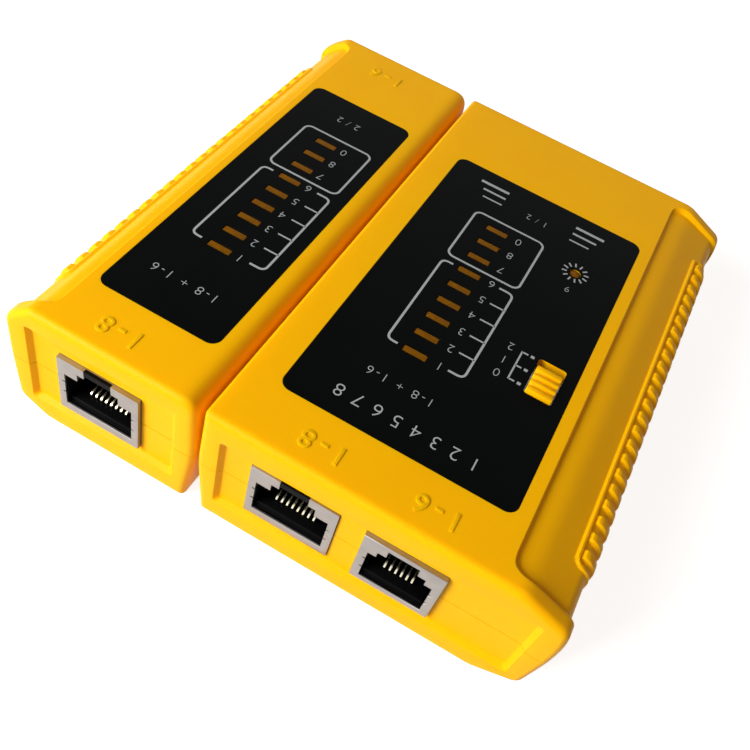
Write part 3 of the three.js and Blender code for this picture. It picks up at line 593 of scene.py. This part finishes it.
# %% The outer skin
def case_skin(name, case):
    """The closed outer skin of one unit, with ribs, bumpers, rounded ends and sunk end panels."""
    reach = HALF_LENGTH - BUMPER
    half_pad = RIB_COUNT * RIB_PITCH / 2 + 1.2
    ribs = np.linspace(-half_pad, half_pad, RIB_COUNT * 15) + RIB_SHIFT
    bend = np.concatenate([np.linspace(reach - 3.8, reach - 1.3, 10), np.linspace(reach - 1.2, reach, 13)])
    front_half = np.concatenate([bend, np.linspace(reach + 0.4, HALF_LENGTH - END_ROUND, 4)])
    y = np.unique(np.round(np.concatenate([-front_half, front_half, ribs]), 4))
    dock = case["dock_round"]
    bump_reach = np.array([0.9, 3.0, dock, 1.0, 1.0, 3.0, 1.6, 3.0, 3.0, 0.7, 0.7, 1.2])
    grip_reach = np.array([0.9, 3.0, dock, 0.35, 0.5, 1.6, 0.9, 1.2, 3.0, 0.9, 0.9, 1.2])
    slim = rounded_rings(grip_corners(case)[None], grip_reach)
    full = rounded_rings(bumper_corners(case)[None], bump_reach)
    share = grip_share(slim[0], y)
    rings = full + (slim - full) * share[..., None]
    rings = pushed_out(rings, pad_height(case, slim[0], y) * share)
    square_corners = np.isin(np.arange(12), (0, 2))
    ends = []
    for a in np.linspace(0, np.pi / 2, 9)[1:]:
        inset = END_ROUND * (1 - math.cos(a))
        eased = np.maximum(bump_reach, square_corners * 1.6 * inset)
        end = rounded_rings(bumper_corners(case)[None], eased)
        shrunk = pushed_out(end, np.full(end.shape[:2], -inset))[0]
        ends.append((shrunk, HALF_LENGTH - END_ROUND * (1 - math.sin(a))))
    panel_reach = np.array([0.8, 1, 0.8, 0.3, 0.3, 0.3, 0.8, 0.3, 1, 0.3, 0.8, 0.3])
    panel_steps = ((-0.12, 0.0), (0.05, 0.03), (0.14, 0.12), (0.72, 0.88), (0.82, 0.97), (1.0, PANEL_DEPTH))
    for inset, drop in panel_steps:
        edge = rounded_rings(panel_corners(case, inset)[None], panel_reach)[0]
        ends.append((edge, HALF_LENGTH - drop))
    def placed(ring, where):
        x = case["dock"] + case["turn"] * ring[:, 0]
        return np.stack([x, np.full(len(ring), where), ring[:, 1]], axis=-1)
    body = [placed(ring, where) for ring, where in zip(rings, y)]
    front = [placed(ring, -where) for ring, where in reversed(ends)]
    rear = [placed(ring, where) for ring, where in ends]
    skin = ring_solid(name, front + body + rear)
    print(name, "faces:", len(skin.data.polygons))
    return skin


# %% [markdown]
# Inside, the case is hollow. Screw posts, the walls around the battery and the channel for the docking rail
# stay standing, so they are first taken away from the hollow, and then the hollow is cut out of the skin.

# %% Tools that hollow and cut a case
def in_case(case, u0, u1, y0, y1, z0, z1):
    """A box given by its distances from the docking side."""
    x0, x1 = sorted((case["dock"] + case["turn"] * u0, case["dock"] + case["turn"] * u1))
    return block("tool", (x0, y0, z0), (x1, y1, z1))


def rounded_rectangle(x0, x1, y0, y1, radius, steps=10):
    """Four quarter circles, one at each corner, joined by straight sides."""
    quarter = np.linspace(0, np.pi / 2, steps)
    arcs = []
    for i, (cx, cy) in enumerate(((x1 - radius, y1 - radius), (x0 + radius, y1 - radius),
                                  (x0 + radius, y0 + radius), (x1 - radius, y0 + radius))):
        turn = quarter + i * np.pi / 2
        arcs.append(np.stack([cx + radius * np.cos(turn), cy + radius * np.sin(turn)], axis=-1))
    return np.concatenate(arcs)


def stacked(outlines, heights):
    """Flat outlines one above the other, as the rings of a solid."""
    return [np.column_stack([outline, np.full(len(outline), z)]) for outline, z in zip(outlines, heights)]


def plate(outline, z0, z1):
    """A flat outline given thickness."""
    return ring_solid("plate", stacked((outline, outline), (z0, z1)))


def round_post(x, y, z0, z1, radius, sides=32):
    """A cylinder: a circle of points at two heights."""
    turn = np.linspace(0, 2 * np.pi, sides, endpoint=False)
    return plate(np.stack([x + radius * np.cos(turn), y + radius * np.sin(turn)], axis=-1), z0, z1)


INSIDE_Y = HALF_LENGTH - PANEL_DEPTH - WALL
ROOF = HEIGHT - WALL


def carried(ring, *stations):
    """An upright outline repeated at each station along the length."""
    return [np.stack([ring[:, 0], np.full(len(ring), y), ring[:, 1]], axis=-1) for y in stations]


def hollow(case, has_channel):
    """The space inside the walls, as an outline carried between the two end walls."""
    w = case["width"] - case["grip"] - WALL
    crease = case["width"] - case["crease"]
    foot = case["foot"][2] + 0.6
    wall_side = [(WALL + 0.8, WALL), (WALL + 0.2, SEAM), (WALL + 0.8, ROOF)]
    if has_channel:
        reach = 5.8
        wall_side = [(WALL + 0.8, WALL), (WALL + 0.4, SEAM - reach), (5.4, SEAM - reach), (5.4, SEAM + reach),
                     (WALL + 0.4, SEAM + reach), (WALL + 0.8, ROOF)]
    outline = wall_side + [(crease - 0.6, ROOF), (crease + 0.25 * (w - crease), HEIGHT - 1.5 - WALL),
                           (w, HEIGHT - 7.4), (w, SEAM), (w - 0.6, foot + 1.2),
                           (w - 0.5 * (w - crease) - 1, WALL)]
    ring = np.array([(case["dock"] + case["turn"] * u, z) for u, z in outline])
    return ring_solid("hollow", carried(ring, -INSIDE_Y, INSIDE_Y))


def screw_places(unit):
    names = [n for n in frame["nodes"] if n.startswith(unit + "_case_screw")]
    return [tuple((box_mm(n)[0] + box_mm(n)[1])[:2] / 2) for n in sorted(names)]


def lamp_boxes(unit):
    return [box_mm(n) for n in sorted(frame["nodes"]) if n.startswith(unit + "_led_")]


def shell_tools(unit):
    """Sockets, lamps, label seat and screws: everything that opens the case of a unit."""
    tools = []
    for node in sorted(n for n in frame["nodes"] if n.startswith(unit) and n.endswith("_shield")):
        low, high = box_mm(node)
        side = math.copysign(1, low[1])
        y0, y1 = sorted((side * (HALF_LENGTH + 2), side * (INSIDE_Y - 1)))
        tools.append(block("tool", (low[0] - 0.1, y0, low[2] - 0.1), (high[0] + 0.1, y1, high[2] + 0.1)))
    for low, high in lamp_boxes(unit):
        outline = rounded_rectangle(low[0] - 0.28, high[0] + 0.28, low[1] - 0.28, high[1] + 0.28, 0.3, 5)
        tools.append(plate(outline, ROOF - 2, HEIGHT + 1))
    low, high = box_mm(unit + "_face_label")
    seat = rounded_rectangle(low[0] - 0.06, high[0] + 0.06, low[1] - 0.06, high[1] + 0.06, 2.06)
    tools.append(plate(seat, low[2], HEIGHT + 1))
    for x, y in screw_places(unit):
        tools.append(round_post(x, y, -1, ROOF - 3, 1.5, 24))
        tools.append(round_post(x, y, -1, 3, 2.8))
    return tools


def seam_groove(case):
    """A frame-shaped cut, a seventh of a millimetre high and just under a millimetre deep, all round."""
    half = 0.07
    wide = in_case(case, -5, case["width"] + 5, -HALF_LENGTH - 5, HALF_LENGTH + 5, SEAM - half, SEAM + half)
    core = in_case(case, 0.8, case["width"] - case["grip"] - 0.8, -HALF_LENGTH + PANEL_DEPTH + 0.8,
                   HALF_LENGTH - PANEL_DEPTH - 0.8, SEAM - 1, SEAM + 1)
    return carve(wide, [core])


print("room inside along the case:", round(2 * float(INSIDE_Y), 1), "mm")


# %% [markdown]
# The master also takes the knob, the power lamp, the docking rail and the battery door. The remote has the
# rail itself on its side.

# %% Cut and part the cases
RAIL_NECK, RAIL_HEAD, RAIL_LIP, RAIL_HEAD_THICK = 4.0, 8.0, 1.6, 1.7
RAIL_FRONT, RAIL_LENGTH = -HALF_LENGTH + 24.8, 70.0


def master_only_tools():
    case = cases["master"]
    low, high = box_mm("switch_knob")
    knob_back = high[1] + SLIDES["switch_slide"] + CLEAR
    knob_hole = rounded_rectangle(low[0] - CLEAR, high[0] + CLEAR, low[1] - CLEAR, knob_back, 0.5, 5)
    lamp_low, lamp_high = box_mm("master_power_led")
    lamp = (lamp_low + lamp_high) / 2
    door_low, door_high = box_mm("battery_door")
    middle, half = (door_low[0] + door_high[0]) / 2, (door_high[0] - door_low[0]) / 2
    slot, room = RAIL_NECK / 2 + CLEAR, RAIL_HEAD / 2 + CLEAR
    door_ring = np.array([(middle - half + 1 - CLEAR, -1), (middle + half - 1 + CLEAR, -1),
                          (middle + half + CLEAR, WALL + CLEAR), (middle - half - CLEAR, WALL + CLEAR)])
    return [
        plate(knob_hole, ROOF - 2, HEIGHT + 1),
        round_post(lamp[0], lamp[1], ROOF - 2, HEIGHT + 1, 1.5),
        in_case(case, -5, RAIL_LIP + 0.2, RAIL_FRONT - CLEAR, HALF_LENGTH + 5, SEAM - slot, SEAM + slot),
        in_case(case, RAIL_LIP, RAIL_LIP + RAIL_HEAD_THICK + 2 * CLEAR, RAIL_FRONT - CLEAR, HALF_LENGTH + 5,
                SEAM - room, SEAM + room),
        ring_solid("door_way", carried(door_ring, door_low[1] - CLEAR, HALF_LENGTH + 5))]


def standing_parts(unit):
    """Posts and walls that the hollow leaves standing."""
    parts = [round_post(x, y, 0, HEIGHT, 3.2, 24) for x, y in screw_places(unit)]
    if unit == "master":
        low, high = box_mm("battery")
        door_low, door_high = box_mm("battery_door")
        inner0, inner1 = door_low[0] - 0.5, door_high[0] + 0.5
        front = low[1] - CLEAR - 1.4
        top = SEAM - 2
        parts += [block("wall", (inner0 - 1.4, front, 0), (inner0, high[1] - 2.7, top)),
                  block("wall", (inner1, front, 0), (inner1 + 1.4, high[1] - 2.7, top)),
                  block("wall", (inner0 - 1, front, WALL + CLEAR), (inner1 + 1, front + 1.4, top))]
    return parts


def whole_case(unit):
    """The skin of a unit with its hollow and all its openings, not yet parted."""
    case = cases[unit]
    shell = case_skin(unit + "_case", case)
    if unit == "remote":
        reach, ends = -DOCK_GAP - RAIL_LIP - CLEAR, (RAIL_FRONT, RAIL_FRONT + RAIL_LENGTH)
        neck = in_case(case, 0.6, reach - 0.5, *ends, SEAM - RAIL_NECK / 2, SEAM + RAIL_NECK / 2)
        head = in_case(case, reach, reach - RAIL_HEAD_THICK, *ends, SEAM - RAIL_HEAD / 2,
                       SEAM + RAIL_HEAD / 2)
        carve(shell, [neck, head], "UNION")
    space = carve(hollow(case, unit == "master"), standing_parts(unit))
    tools = [space, seam_groove(case)] + shell_tools(unit)
    if unit == "master":
        tools += master_only_tools()
    return carve(shell, tools)


def part_case(unit):
    """The case in its two halves: everything on the other side of the seam is cut away from a copy."""
    whole = whole_case(unit)
    for half, low, high in (("top", -10, SEAM), ("bottom", SEAM, HEIGHT + 10)):
        shell = linked(f"{unit}_{half}_case", whole.data.copy())
        carve(shell, [block("other_half", (-200, -200, low), (200, 200, high))])
        smooth(shell)
        node = f"{unit}_{half}_shell"
        dress(shell, body_of_node[node], case_abs, [node])
        print(shell.name, "faces:", len(shell.data.polygons))
    bpy.data.objects.remove(whole)


for unit in ("master", "remote"):
    part_case(unit)

# %% [markdown]
# ## Pressed, cut and turned pieces
# Sockets, switch, door, screws and the parts inside already have their true shape in the frame. What they
# lack is the small round along every edge that catches the light. A copy of each mesh is merged, its flat
# faces are joined, and a bevel of a tenth or so of a millimetre runs along the edges. A wider one would fold
# the faces between the door's finger ribs or the knob's ridges. The last word that fits a name counts.

# %% Bevelled copies of the frame's pieces
def bevelled(node, name, width):
    """A copy of a node with a small round on every edge sharper than twenty-eight degrees."""
    mesh = frame["nodes"][node].data.copy()
    mesh.name = name
    mesh.materials.clear()
    work = bmesh.new()
    work.from_mesh(mesh)
    bmesh.ops.remove_doubles(work, verts=work.verts, dist=0.002 * MM)
    bmesh.ops.dissolve_limit(work, angle_limit=math.radians(0.5), verts=work.verts, edges=work.edges)
    work.to_mesh(mesh)
    work.free()
    obj = linked(name, mesh)
    edge = obj.modifiers.new("edge", "BEVEL")
    edge.width = width * MM
    edge.segments = 2
    edge.limit_method = "ANGLE"
    edge.angle_limit = math.radians(28)
    edge.use_clamp_overlap = True
    finished(obj)
    smooth(obj, math.radians(40))
    slot = slot_of_node[node]
    return dress(obj, body_of_node[node], material_of_slot[slot], [node])


edge_widths = {"shield": 0.12, "housing": 0.06, "screw": 0.15, "knob": 0.15, "frame": 0.15, "base": 0.08,
               "slider": 0.15, "board": 0.08, "battery": 0.4, "door": 0.1, "connector": 0.4, "chip": 0.2,
               "lead": 0.05}
pieces = {}
for node in sorted(frame["nodes"]):
    fitting = [key for key in edge_widths if key in node]
    if fitting and not node.endswith(("_shell", "_label", "_contacts")) and "led" not in node.split("_"):
        pieces[node] = bevelled(node, node + "_piece", edge_widths[fitting[-1]])
print("bevelled copies:", len(pieces))

# %% [markdown]
# ## Sockets
# On a wide socket the notch for the plug's latch runs out through the top edge of the metal, and a black
# bridge of the housing fills it. Inside, each spring wire starts in a short hook behind the step of the
# floor and slopes up to the carrier at the back.

# %% Latch notch and spring wires
LATCH_WIDTH = 5.3
SHEET = 0.4
WIRE_PITCH = 1.02
WIRE_THICK = 0.28
WIRE_WIDE = 0.32


def socket_frame(name):
    """Middle, mouth and inward direction of a socket, floor of its opening, top of its shield and ways."""
    low, high = box_mm(name + "_shield")
    inward = -math.copysign(1, low[1])
    mouth = low[1] if inward > 0 else high[1]
    ways = 8 if name.endswith("rj45") else 6
    return (low[0] + high[0]) / 2, mouth, inward, low[2] + (1.8 if ways == 8 else 1.2), high[2], ways


def socket_block(x0, x1, mouth, inward, t0, t1, z0, z1):
    y0, y1 = sorted((mouth + inward * t0, mouth + inward * t1))
    return block("tool", (x0, y0, z0), (x1, y1, z1))


def notch_socket(name):
    middle, mouth, inward, _, top, _ = socket_frame(name)
    half = LATCH_WIDTH / 2
    cut = socket_block(middle - half, middle + half, mouth, inward, -1, SHEET + 0.3, top - SHEET - 0.6,
                       top + 1)
    smooth(carve(pieces[name + "_shield"], [cut]), math.radians(40))
    bridge = socket_block(middle - half + 0.03, middle + half - 0.03, mouth, inward, 0.06, SHEET + 1.6,
                          top - SHEET - 0.9, top - 0.04)
    bridge.name = name + "_latch_bridge"
    dress(bridge, body_of_node[name + "_housing"], socket_abs)


def spring_wire(x, mouth, inward, floor):
    """A flat section carried along a hook and a slope: the hook is an arc of a circle, c - r(sin a, cos a),
    and the path's tangent turns the section's thickness."""
    hook = np.linspace(0, 1.25 * np.pi, 9)
    bow = np.stack([3.1 - 0.42 * np.sin(hook), floor + 1.65 - 0.42 * np.cos(hook)], axis=-1)
    path = np.concatenate([[(3.9, floor + 1.2)], bow[1:6], [(4.4, floor + 2.3), (10.6, floor + 3.2)]])
    along = np.gradient(path, axis=0)
    along /= np.linalg.norm(along, axis=1, keepdims=True)
    side = np.stack([-along[:, 1], along[:, 0]], axis=-1) * WIRE_THICK / 2
    half = WIRE_WIDE / 2
    rings = []
    for edge, x_at in ((side, x - half), (side, x + half), (-side, x + half), (-side, x - half)):
        t, z = (path + edge).T
        rings.append(np.column_stack([np.full(len(t), x_at), mouth + inward * t, z]))
    return ring_solid("wire", np.stack(rings, axis=1))


def spring_contacts(name):
    """The row of wires and the carrier that holds them, in place of the frame's contacts."""
    middle, mouth, inward, floor, _, ways = socket_frame(name)
    places = middle + (np.arange(ways) - (ways - 1) / 2) * WIRE_PITCH
    row = joined(name + "_spring_wires", [spring_wire(x, mouth, inward, floor) for x in places])
    smooth(row, math.radians(50))
    dress(row, body_of_node[name + "_contacts"], gold_flash, [name + "_contacts"])
    half = ways * WIRE_PITCH / 2
    carrier = socket_block(middle - half, middle + half, mouth, inward, 10.3, 11.7, floor + 1.0, floor + 3.9)
    carrier.name = name + "_wire_carrier"
    dress(carrier, body_of_node[name + "_contacts"], socket_abs)


for name in ("master_rj45", "master_rj11", "remote_rj45", "remote_rj11"):
    if name.endswith("rj45"):
        notch_socket(name)
    spring_contacts(name)
print("sockets finished")

# %% [markdown]
# ## Lamps
# Each lamp is a cast bar of tinted epoxy that fills its window and ends just under the film's face. Its
# outline shrinks towards the top, which rounds the rim. The power lamp is round, and its end is a low dome.

# %% Lamp lenses
LENS_DROP = 0.12


def bar_lens(node, top):
    """A bar whose rim follows a quarter circle: inset r(1 - cos a) at height r sin a."""
    low, high = box_mm(node)
    grow, rim = 0.14, 0.18
    turn = np.linspace(0, np.pi / 2, 5)
    insets = np.concatenate([[0], rim * (1 - np.cos(turn))]) - grow
    heights = np.concatenate([[low[2]], top - rim + rim * np.sin(turn)])
    outlines = [rounded_rectangle(low[0] + i, high[0] - i, low[1] + i, high[1] - i, 0.25, 4) for i in insets]
    return ring_solid(node + "_lens", stacked(outlines, heights))


def dome_lens(node, top):
    """A flange and a shaft under a low dome: radius R cos a at height h sin a."""
    low, high = box_mm(node)
    middle = (low + high)[:2] / 2
    flange = (high[0] - low[0]) / 2
    shaft, rise = flange - 0.35, 0.5
    turn = np.linspace(0, 0.46 * np.pi, 8)
    radii = np.concatenate([[flange, flange, shaft], shaft * np.cos(turn)])
    heights = np.concatenate([[low[2], low[2] + 0.8, low[2] + 0.81], top - rise + rise * np.sin(turn)])
    circle = np.linspace(0, 2 * np.pi, 40, endpoint=False)
    unit_circle = np.stack([np.cos(circle), np.sin(circle)], axis=-1)
    return ring_solid(node + "_lens", stacked([middle + r * unit_circle for r in radii], heights))


film_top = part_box("master_face_label")[1].z / MM
lamp_nodes = sorted(node for node in frame["nodes"] if "led" in node.split("_"))
for node in lamp_nodes:
    lens = (dome_lens if "power" in node else bar_lens)(node, film_top - LENS_DROP)
    smooth(lens, math.radians(50))
    dress(lens, body_of_node[node], amber_epoxy, [node])
print("lamps:", len(lamp_nodes))

# %% [markdown]
# ## The printed film
# The film lies in a shallow seat in the top of each case. It is one flat outline with a window for each lamp.
# A filled curve makes such a shape at once: every closed loop inside another one becomes a hole.

# %% Film
def meshed(name, data, place):
    """A filled curve or text turned into a mesh, and only then put in its place."""
    curve = linked(name + "_curve", data)
    mesh = bpy.data.meshes.new_from_object(curve.evaluated_get(bpy.context.evaluated_depsgraph_get()))
    bpy.data.objects.remove(curve)
    mesh.name = name
    mesh.transform(place)
    outward(mesh)
    return linked(name, mesh)


def flat_piece(name, loops, z0, z1):
    """Closed loops of points filled as one flat sheet, from one height to the other."""
    data = bpy.data.curves.new(name, "CURVE")
    data.dimensions = "2D"
    data.fill_mode = "BOTH"
    data.extrude = (z1 - z0) / 2 * MM
    for loop in loops:
        spline = data.splines.new("POLY")
        spline.points.add(len(loop) - 1)
        rows = np.column_stack([np.asarray(loop) * MM, np.zeros(len(loop)), np.ones(len(loop))])
        spline.points.foreach_set("co", rows.ravel())
        spline.use_cyclic_u = True
    return meshed(name, data, Matrix.Translation((0, 0, (z0 + z1) / 2 * MM)))


def film(unit):
    node = unit + "_face_label"
    low, high = box_mm(node)
    loops = [rounded_rectangle(low[0], high[0], low[1], high[1], 2.0, 16)]
    for a, b in lamp_boxes(unit):
        loops.append(rounded_rectangle(a[0] - 0.2, b[0] + 0.2, a[1] - 0.2, b[1] + 0.2, 0.15, 4)[::-1])
    if unit == "master":
        lamp_low, lamp_high = box_mm("master_power_led")
        x, y = ((lamp_low + lamp_high) / 2)[:2]
        turn = np.linspace(0, 2 * np.pi, 40, endpoint=False)
        loops.append(np.stack([x + 1.28 * np.cos(turn), y - 1.28 * np.sin(turn)], axis=-1))
        knob_low, knob_high = box_mm("switch_knob")
        knob_back = knob_high[1] + SLIDES["switch_slide"] + 0.25
        loops.append(rounded_rectangle(knob_low[0] - 0.25, knob_high[0] + 0.25, knob_low[1] - 0.25, knob_back,
                                       0.6, 6)[::-1])
    sheet = flat_piece(unit + "_film", loops, low[2], high[2])
    dress(sheet, body_of_node[node], label_film, [node])


for unit in ("master", "remote"):
    film(unit)

# %% [markdown]
# The print is a thin layer of ink on the film: brackets that group the lamps, a number beside each lamp, a
# ring of rays around the power lamp and stripes. Each line is a narrow bar carried along a path. All
# lettering is plain numbers, and it is read from the back of the tester, so it is turned half round.

# %% Ink strokes and numbers
INK = 0.03


def stroke(path, width, base=film_top, height=INK):
    """A bar of rectangular section along an open path in the plane: two rails on each side, low and high."""
    path = np.asarray(path, float)
    along = np.gradient(path, axis=0)
    along /= np.linalg.norm(along, axis=1, keepdims=True)
    side = np.stack([-along[:, 1], along[:, 0]], axis=-1) * width / 2
    left, right_side = path + side, path - side
    rings = np.stack([np.column_stack([left, np.full(len(path), base)]),
                      np.column_stack([left, np.full(len(path), base + height)]),
                      np.column_stack([right_side, np.full(len(path), base + height)]),
                      np.column_stack([right_side, np.full(len(path), base)])], axis=1)
    return ring_solid("stroke", rings)


def bent_line(points, radius, steps=6):
    """A path through the points with each inner corner rounded by a parabola of the given reach."""
    points = [np.asarray(p, float) for p in points]
    path = [points[0]]
    s = np.linspace(0, 1, steps)[:, None]
    for before, corner, after in zip(points, points[1:], points[2:]):
        enter = corner + (before - corner) / np.linalg.norm(before - corner) * radius
        leave = corner + (after - corner) / np.linalg.norm(after - corner) * radius
        path.extend((1 - s) ** 2 * enter + 2 * s * (1 - s) * corner + s ** 2 * leave)
    path.append(points[-1])
    return np.array(path)


def lettering(text, x, y, size, base=film_top, height=INK, spread=1.0, bevel=0.0, thin=-0.055):
    """Plain numbers centred on a point, turned half round, as a mesh of the given height."""
    data = bpy.data.curves.new("number", "FONT")
    data.body = text
    data.size = size * MM * 1.4
    data.space_character = spread
    data.align_x, data.align_y = "CENTER", "CENTER"
    data.offset = thin * MM
    data.extrude = height / 2 * MM
    data.bevel_depth = bevel * MM
    data.bevel_resolution = 2
    place = Matrix.Translation(Vector((x, y, base + height / 2)) * MM)
    return meshed("number", data, place @ Matrix.Rotation(math.pi, 4, "Z"))


# %% [markdown]
# Both films share one layout around the column of lamps. A bracket on the left and a ruled bracket on the
# right hold lamps one to six, and a closed box holds the last three.

# %% Print on both films
LINE = 0.44
THIN = 0.32


def lamp_print(unit, left, right, ticks_from, number_x):
    """The two brackets, the box and the numbers, from the places of the lamps."""
    centres = [(a[1] + b[1]) / 2 for a, b in lamp_boxes(unit)]
    centres.sort()
    first, last = centres[0], centres[5]
    parts = [stroke(bent_line([(tip, first), (side, first), (side, last), (tip, last)], 1.3), LINE)
             for tip, side in ((left + 2.2, left), (ticks_from, right))]
    parts += [stroke([(ticks_from, y), (right, y)], THIN) for y in centres[1:5]]
    box = rounded_rectangle(left - 0.1, right + 0.1, last + 1.9, centres[8] + 2.95, 1.4, 7)
    parts.append(stroke(np.concatenate([box[5:], box[:6]]), LINE))
    numbers = [str(i + 1) for i in range(8)] + ["0"]
    parts += [lettering(n, number_x, y, 1.95) for n, y in zip(numbers, centres)]
    return parts


def master_print():
    label_low, _ = box_mm("master_face_label")
    x0, y0 = label_low[:2]
    parts = lamp_print("master", x0 + 9.75, x0 + 24.67, x0 + 21.7, x0 + 20.1)
    for i, y in enumerate((24.75, 28.3, 31.9)):
        parts.append(stroke([(x0 + 31.1, y0 + y), (x0 + 32.3, y0 + y)], THIN))
        parts.append(stroke([(x0 + 32.8, y0 + y), (x0 + 33.5, y0 + y)], 0.6))
        parts.append(lettering(str(i), x0 + 28.9, y0 + y, 1.9))
    parts.append(stroke([(x0 + 31.1, y0 + 24.6), (x0 + 31.1, y0 + 32.05)], THIN))
    lamp_low, lamp_high = box_mm("master_power_led")
    cx, cy = ((lamp_low + lamp_high) / 2)[:2]
    for turn in np.linspace(0, 2 * np.pi, 12, endpoint=False) + 0.26:
        ray_way = np.array([math.cos(turn), math.sin(turn)])
        parts.append(stroke([(cx, cy) + ray_way * 1.75, (cx, cy) + ray_way * 2.75], THIN))
    parts.append(lettering("9", x0 + 32.8, y0 + 52.6, 1.6))
    for end, y, thick in ((6.7, 71.0, 0.7), (8.0, 68.8, 0.52), (8.8, 66.5, 0.36)):
        parts.append(stroke([(x0 + end, y0 + y), (x0 + 13.1, y0 + y)], thick))
    for end, y, thick in ((34.8, 71.0, 0.7), (33.7, 68.8, 0.52), (32.75, 66.5, 0.36)):
        parts.append(stroke([(x0 + 28.5, y0 + y), (x0 + end, y0 + y)], thick))
    parts.append(lettering("1 / 2", x0 + 20.95, y0 + 67.2, 1.7, spread=1.1))
    parts.append(lettering("1-8 + 1-6", x0 + 16.4, y0 + 11.7, 1.9, spread=1.25))
    parts.append(lettering("1 2 3 4 5 6 7 8", x0 + 20.8, y0 + 5.06, 2.7, spread=1.15))
    return parts


def remote_print():
    label_low, _ = box_mm("remote_face_label")
    x0, y0 = label_low[:2]
    parts = lamp_print("remote", x0 + 5.27, x0 + 20.4, x0 + 17.4, x0 + 15.4)
    parts.append(lettering("1-8 + 1-6", x0 + 11.4, y0 + 8.65, 2.0, spread=1.25))
    parts.append(lettering("2 / 2", x0 + 11.5, y0 + 67.5, 1.9, spread=1.1))
    return parts


for unit, parts in (("master", master_print()), ("remote", remote_print())):
    ink = joined(unit + "_film_print", parts)
    dress(ink, body_of_node[unit + "_face_label"], white_ink)
    print(ink.name, "faces:", len(ink.data.polygons))

# %% [markdown]
# Beside each socket the mould leaves raised numbers, the first and last wire of that socket. They are low and
# soft-edged, in the plastic of the case.

# %% Raised numbers on the cases
RAISED = 0.17


def raised_marks(unit, marks):
    """Numbers over the unit's sockets, each with its own step to the side and place along the case."""
    parts = []
    for socket, text, aside, y in marks:
        low, high = box_mm(f"{unit}_{socket}_shield")
        x = (low + high)[0] / 2 + aside
        parts.append(lettering(text, x, y, 3.5, HEIGHT - 0.08, RAISED, 1.35, 0.06, 0.02))
    piece = joined(unit + "_raised_numbers", parts)
    smooth(piece, math.radians(60))
    dress(piece, body_of_node[unit + "_top_shell"], case_abs)


front_row, back_row = -HALF_LENGTH + 5.4, HALF_LENGTH - 8.2
raised_marks("master", [("rj45", "1-8", 1.0, front_row), ("rj11", "1-6", 0.9, front_row)])
raised_marks("remote", [("rj45", "1-8", 0.8, front_row), ("rj11", "1-6", 0.0, back_row)])

# %% [markdown]
# ## Sizes and the end
# Both boxes, the frame's and the one with the looks, are printed.

# %% Print the sizes and finish
seen_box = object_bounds()
for title, box in (("cad box", cad_box), ("visual box", seen_box)):
    print(title, [[round(float(v), 5) for v in corner] for corner in box])
